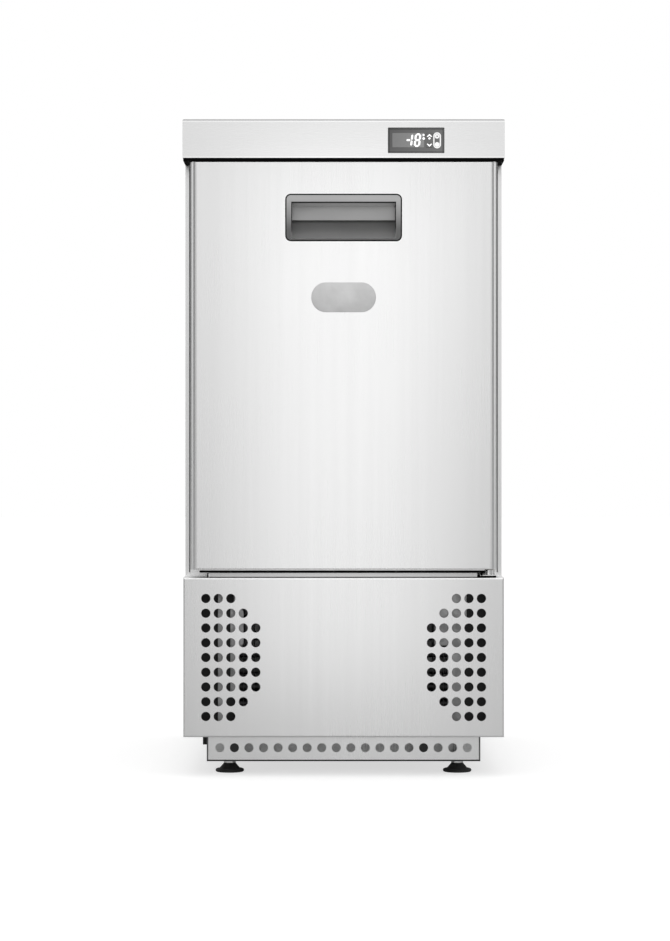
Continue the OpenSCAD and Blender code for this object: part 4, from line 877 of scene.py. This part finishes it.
def addGapShadowStrip(settings):
    # outline seen from below, as (across, forwards): it leaves a bay for the hinge bracket
    left, right = worktopLow.x + settings["side"], worktopHigh.x - settings["side"]
    front, back = -worktopLow.y - settings["front"], -cabinetFront + settings["setback"]
    bayFront = -hingeLow.y + settings["gap"]
    bayLeft, bayRight = hingeLow.x - settings["gap"], hingeHigh.x + settings["gap"]
    shape = [(left, back), (bayLeft, back), (bayLeft, bayFront), (bayRight, bayFront), (bayRight, back),
        (right, back), (right, front), (left, front)]
    strip = prismOf(shape, settings["thick"], (0, 0, worktopLow.z), downWards)
    addPiece("worktop_shadow_strip", strip, "paintedShadowBlack", "cabinet")


addGapShadowStrip(gapShadowStrip)
print("freezer: worktop strip made")


# trim round the door's opening: a grey strip on each stile as painted shadow of the gap, the door's lower hem,
# and a black strip under it as painted shadow
stileShadowStrip = {"across": (0.1934, 0.1948), "thick": 0.0010, "ends": 0.0045}
doorHem = {"left": 0.0040, "right": 0.0155, "setback": 0.0012, "deep": 0.0060, "high": 0.0009}
doorShadowStrip = {"left": 0.0120, "right": 0.0155, "setback": 0.0030, "deep": 0.0050, "high": 0.0029}


def addStileShadowStrips(settings):
    # painted shadow of the gap between the door and each stile
    inner, outer = settings["across"]
    low, high = sillBase.z + settings["ends"], worktopLow.z - settings["ends"]
    strips = [boxSurface((left, cabinetFront - settings["thick"], low), (right, cabinetFront, high))
        for left, right in ((-outer, -inner), (inner, outer))]
    addPiece("stile_shadow_strips", joined(strips), "paintedShadeGrey", "cabinet")


def underDoor(settings, top):
    # a straight strip that hangs from the given height and leaves the hinge's corner free
    front = doorLow.y + settings["setback"]
    return boxSurface((doorLow.x + settings["left"], front, top - settings["high"]),
        (doorHigh.x - settings["right"], front + settings["deep"], top))


def addDoorFoot(hem, shadowStrip):
    addPiece("door_hem", underDoor(hem, doorLow.z), "stainless", "door")
    # the black strip under the hem is painted shadow
    addPiece("door_shadow_strip", underDoor(shadowStrip, doorLow.z - hem["high"]), "paintedShadowBlack", "door")


addStileShadowStrips(stileShadowStrip)
addDoorFoot(doorHem, doorShadowStrip)


# trim of the sill: a thin steel cap over its front, darkened as painted shade, and black strips round the cap
# and the lower hinge bracket as painted shadow; heights are from the bracket's foot up, a strip a (left, right,
# bottom, top)
sillCap = {"across": (-0.1670, 0.1660), "lifts": (0.0006, 0.0055), "thick": 0.0007}
sillShadowStrips = {"thick": 0.0012, "spans": ((-0.1680, 0.1664, 0.0, 0.0006), (-0.1698, -0.1682, 0.0, 0.0052),
    (0.1664, 0.1682, 0.0, 0.0060), (0.1712, 0.1728, 0.0020, 0.0060), (0.1682, 0.1900, 0.0, 0.0020))}


def addSillCap(settings):
    left, right = settings["across"]
    low, high = settings["lifts"]
    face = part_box("cabinet_floor")[0].y
    cap = boxSurface((left, face - settings["thick"], sillBase.z + low), (right, face, sillBase.z + high))
    addPiece("sill_cap", cap, "sillSteelPaintedShade", "cabinet")


def addSillShadowStrips(settings):
    front = sillBase.y - settings["thick"]
    shadows = [boxSurface((left, front, sillBase.z + bottom), (right, sillBase.y, sillBase.z + top))
        for left, right, bottom, top in settings["spans"]]
    addPiece("sill_shadow_strips", joined(shadows), "paintedShadowBlack", "cabinet")


addSillCap(sillCap)
addSillShadowStrips(sillShadowStrips)
print("freezer: door and sill trim made")


# seen through the panel's holes: foam baffles that close the gaps round the condenser, and galvanised flanges
# on its end plates; a baffle is a (left, right, bottom, top), a flange a (place across, place over the floor,
# width, height, corner radius)
baffles = {"thick": 0.0020, "spans": ((-0.1780, -0.1570, 0.060, 0.231), (-0.1488, -0.1335, 0.062, 0.100),
    (-0.1480, -0.1412, 0.100, 0.213), (-0.1480, -0.1370, 0.213, 0.227), (0.1500, 0.1780, 0.060, 0.193),
    (0.1535, 0.1780, 0.193, 0.231))}
flanges = {"thick": 0.0012, "edge": 0.0004, "plates": ((-0.1529, 0.1465, 0.0078, 0.1690, 0.0015),
    (-0.1310, 0.1842, 0.0130, 0.0480, 0.0060), (0.1245, 0.1865, 0.0225, 0.0500, 0.0020))}


def addBaffles(settings):
    sheets = [boxSurface((left, condenserFront - settings["thick"], low), (right, condenserFront, high))
        for left, right, low, high in settings["spans"]]
    addPiece("air_baffles", joined(sheets), "black_rubber", "cabinet")


def addFlanges(settings):
    plates = [plateSurface(*roundedOutline(wide, high, radius, cornerSteps=6), settings["thick"],
        settings["edge"], (x, condenserFront, z), frontWards, edgeSteps=3)
        for x, z, wide, high, radius in settings["plates"]]
    addPiece("condenser_flanges", joined(plates), "galvanised", "cabinet")


addBaffles(baffles)
addFlanges(flanges)
print("freezer: baffles and flanges made")


# beside and on the plinth: the drain plug's pull tab, dark strips round the channel as painted shade, and black
# plugs that close two of its holes from behind
plugTab = {"wide": 0.0100, "high": 0.0095}
plinthEdge = {"wide": 0.0011, "deep": 0.0015, "lap": 0.0008, "thick": 0.0004}
holePlugs = {"across": (-0.1365, 0.1001), "wall": 0.0012, "diameter": 0.0150, "thick": 0.0016, "edge": 0.0006}


def addPlugTab(settings):
    low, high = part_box("drain_plug")
    middle = (low.x + high.x) / 2
    tab = boxSurface((middle - settings["wide"] / 2, low.y, low.z - settings["high"]),
        (middle + settings["wide"] / 2, high.y, low.z))
    addPiece("drain_plug_tab", tab, "black_rubber", "cabinet")


def addPlinthEdge(settings):
    # painted shade: black along the foot and grey up both ends, each a bar round the channel and a lap over its
    # front
    low, high, wide, lap = plinthLow, plinthHigh, settings["wide"], settings["lap"]
    front, back = low.y - settings["thick"], low.y + settings["deep"]
    foot = [boxSurface((low.x - wide, low.y, low.z - wide), (high.x + wide, back, low.z)),
        boxSurface((low.x - wide, front, low.z - wide), (high.x + wide, low.y, low.z + lap))]
    addPiece("plinth_strip", joined(foot), "black_rubber", "cabinet")
    ends = [boxSurface((low.x - wide, low.y, low.z), (low.x, back, high.z)),
        boxSurface((low.x - wide, front, low.z + lap), (low.x + lap, low.y, high.z)),
        boxSurface((high.x, low.y, low.z), (high.x + wide, back, high.z)),
        boxSurface((high.x - lap, front, low.z + lap), (high.x + wide, low.y, high.z))]
    addPiece("plinth_edge", joined(ends), "paintedShadeGrey", "cabinet")


def addHolePlugs(settings):
    thick = settings["thick"]
    depth, height = plinthLow.y + settings["wall"] + thick, (plinthLow.z + plinthHigh.z) / 2
    outline, outward = circleOutline(settings["diameter"], steps=40)
    plugs = [plateSurface(outline, outward, thick, settings["edge"], (x, depth, height), frontWards)
        for x in settings["across"]]
    addPiece("plinth_plugs", joined(plugs), "black_rubber", "cabinet", smooth=True)


addPlugTab(plugTab)
addPlinthEdge(plinthEdge)
addHolePlugs(holePlugs)
print("freezer: plinth trim made")


# pan-head screws; crown gives the shares of the radius between which the dome's rings lie
screwHead = {"radius": 0.0038, "high": 0.0020, "steep": 0.86, "rows": 11, "columns": 32, "slot": 0.0008,
    "reach": 0.0024, "depth": 0.0011, "crown": (0.96, 0.05), "fade": 0.3}
rearScrews = {"in": 0.0075, "grille": (0.014, 0.099, 0.184), "panel": (0.018, 0.138, 0.258, 0.378, 0.498)}
coverScrews = {"in": 0.012, "share": (0.04, 0.36, 0.66, 0.96)}
bracketScrews = {"thick": 0.003, "apart": 0.011, "fromBack": 0.009, "right": 0.0005}


def screwSurface(settings, origin, axes):
    # height at a share of the radius: high times the root of 1 - (steep times share) squared, less the depth
    # of a cross, which is deepest on the middle lines of its arms and fades out at their ends
    angles = np.arange(settings["columns"]) * 2 * math.pi / settings["columns"]
    share = np.concatenate([[1.0, 1.0], np.linspace(*settings["crown"], settings["rows"])])[:, None]
    radii = settings["radius"] * share
    flat = np.stack([radii * np.cos(angles), radii * np.sin(angles)], axis=-1)
    dome = settings["high"] * np.sqrt(1 - (settings["steep"] * share) ** 2)
    dome[0] = 0
    arm = np.clip(1 - np.abs(flat).min(axis=-1) / settings["slot"], 0, 1)
    ends = np.clip((settings["reach"] - radii) / (settings["reach"] * settings["fade"]), 0, 1)
    heights = dome - settings["depth"] * arm * ends
    return placed(flat, heights, origin, **axes), closedFaces(*heights.shape)


def addScrews(name, places, axes):
    heads = [screwSurface(screwHead, place, axes) for place in places]
    addPiece(name, joined(heads), "bright_steel", "cabinet", smooth=True)


def twoRows(across, y, heights):
    return [(side * across, y, z) for side in (-1, 1) for z in heights]


def addRearScrews(settings):
    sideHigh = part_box("right_side_panel")[1]
    rows = ((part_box("rear_grille")[0].z, settings["grille"]), (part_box("back_panel")[0].z, settings["panel"]))
    heights = [foot + lift for foot, lifts in rows for lift in lifts]
    addScrews("rear_screws", twoRows(sideHigh.x - settings["in"], sideHigh.y, heights), backWards)


def addCoverScrews(settings):
    low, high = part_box("evaporator_cover")
    heights = [low.z + share * (high.z - low.z) for share in settings["share"]]
    addScrews("cover_screws", twoRows(high.x - settings["in"], low.y, heights), frontWards)


def addBracketScrews(settings):
    middle = (hingeLow.x + hingeHigh.x) / 2 + settings["right"]
    y = hingeHigh.y - settings["fromBack"]
    pair = [middle + side * settings["apart"] / 2 for side in (-1, 1)]
    addScrews("top_bracket_screws", [(x, y, hingeHigh.z - settings["thick"]) for x in pair], downWards)
    addScrews("low_bracket_screws", [(x, y, sillBase.z + settings["thick"]) for x in pair], upWards)


addRearScrews(rearScrews)
addCoverScrews(coverScrews)
addBracketScrews(bracketScrews)
print("freezer: screws made")


# studio: a floor that looks white, a soft lamp before the freezer, a broad one over it, and surroundings
studioFloor = {
    "size": 40.0,
    "grey": 0.5,
    "lift": 0.62,               # seen by the camera and through glass
    "sheen": 0.08,              # seen in gloss
    "sideFall": {"middle": 0.05, "range": (0.05, 0.30), "low": 0.78},
}
lamps = {
    "frontLamp": {"power": 0.40, "size": (0.32, 0.84), "place": (0, -1.25, 0.46), "target": (0, 0, 0.46)},
    "topLamp": {"power": 8.0, "size": (2.4, 2.4), "place": (0, -0.2, 3.2), "target": (0, 0, 0.4)},
}


def floorMaterial(settings):
    material = bpy.data.materials.new("floorWhite")
    tree = emptyTree(material)
    output = addNode(tree, "ShaderNodeOutputMaterial")
    matt = addNode(tree, "ShaderNodeBsdfDiffuse")
    lift = addNode(tree, "ShaderNodeEmission")
    seen = addNode(tree, "ShaderNodeLightPath").outputs
    watched = mathNode(tree, "MAXIMUM", seen["Is Camera Ray"], seen["Is Transmission Ray"])
    watched = mathNode(tree, "MULTIPLY", watched, settings["lift"])
    mirrored = mathNode(tree, "MULTIPLY", seen["Is Glossy Ray"], settings["sheen"])
    # the floor's mirror image darkens to the sides: 1 at the middle, the low share past the range
    fall = settings["sideFall"]
    across = apart(tree, addNode(tree, "ShaderNodeTexCoord").outputs["Object"])["X"]
    aside = mathNode(tree, "ABSOLUTE", mathNode(tree, "SUBTRACT", across, fall["middle"]))
    share = spread(tree, aside, 0.0, 1.0 - fall["low"], *fall["range"])
    share = mathNode(tree, "SUBTRACT", 1.0, mathNode(tree, "MULTIPLY", share, seen["Is Glossy Ray"]))
    tree.links.new(mathNode(tree, "MULTIPLY", share, settings["grey"]), matt.inputs["Color"])
    tree.links.new(mathNode(tree, "MAXIMUM", watched, mirrored), lift.inputs["Strength"])
    both = addNode(tree, "ShaderNodeAddShader")
    tree.links.new(matt.outputs[0], both.inputs[0])
    tree.links.new(lift.outputs[0], both.inputs[1])
    tree.links.new(both.outputs[0], output.inputs["Surface"])
    return material


def addFloor(settings):
    half = settings["size"] / 2
    mesh = bpy.data.meshes.new("studioFloor")
    corners = [(-half, -half, 0), (half, -half, 0), (half, half, 0), (-half, half, 0)]
    mesh.from_pydata(corners, [], [(0, 1, 2, 3)])
    mesh.materials.append(floorMaterial(settings))
    floor = bpy.data.objects.new("studioFloor", mesh)
    scene.collection.objects.link(floor)


def addLamp(name, lamp):
    data = bpy.data.lights.new(name, "AREA")
    data.shape = "RECTANGLE"
    data.size, data.size_y = lamp["size"]
    data.energy = lamp["power"]
    light = bpy.data.objects.new(name, data)
    light.location = lamp["place"]
    light.visible_camera = False
    away = np.array(lamp["place"]) - np.array(lamp["target"])
    length = np.linalg.norm(away)
    light.rotation_euler = (math.acos(away[2] / length), 0, math.atan2(away[1], away[0]) + math.pi / 2)
    scene.collection.objects.link(light)


# what gloss mirrors: upright panels round the freezer, darker to the floor and to the left, pale overhead;
# a panel is a (share of the half turn away from the camera, brightness), the rest are (from, to)
surroundings = {
    "panels": ((0.0, 0.96), (0.14, 0.90), (0.22, 0.22), (0.34, 0.30), (0.42, 1.0), (0.55, 1.0), (0.62, 0.14),
        (0.76, 0.14), (0.86, 0.5), (1.0, 0.8)),
    "rise": (0.62, 1.02),
    "riseOver": (-0.05, 0.2),
    "lean": (0.94, 1.12),
    "leanOver": (-0.06, 0.06),
    "overhead": 0.95,
    "overheadOver": (0.25, 0.6),
}


def addSurroundings(settings):
    # white to the camera, the panels to all else
    world = bpy.data.worlds.new("studioWorld")
    scene.world = world
    tree = emptyTree(world)
    output = addNode(tree, "ShaderNodeOutputWorld")
    background = addNode(tree, "ShaderNodeBackground")
    background.inputs["Color"].default_value = grey(255)
    x, y, z = apart(tree, addNode(tree, "ShaderNodeTexCoord").outputs["Generated"])
    turn = mathNode(tree, "ABSOLUTE", mathNode(tree, "ARCTAN2", x, mathNode(tree, "MULTIPLY", y, -1.0)))
    panels = greyRamp(tree, mathNode(tree, "DIVIDE", turn, math.pi), settings["panels"], "EASE")
    rise = spread(tree, z, *settings["rise"], *settings["riseOver"])
    lean = spread(tree, x, *settings["lean"], *settings["leanOver"])
    walls = mathNode(tree, "MULTIPLY", panels, mathNode(tree, "MULTIPLY", rise, lean))
    overhead = spread(tree, z, 0.0, 1.0, *settings["overheadOver"])
    mirrored = blendLevels(tree, overhead, walls, settings["overhead"])
    seen = addNode(tree, "ShaderNodeLightPath").outputs["Is Camera Ray"]
    tree.links.new(blendLevels(tree, seen, mirrored, 1.0), background.inputs["Strength"])
    tree.links.new(background.outputs[0], output.inputs["Surface"])


addFloor(studioFloor)
for name, lamp in lamps.items():
    addLamp(name, lamp)
addSurroundings(surroundings)
print("freezer: studio set")
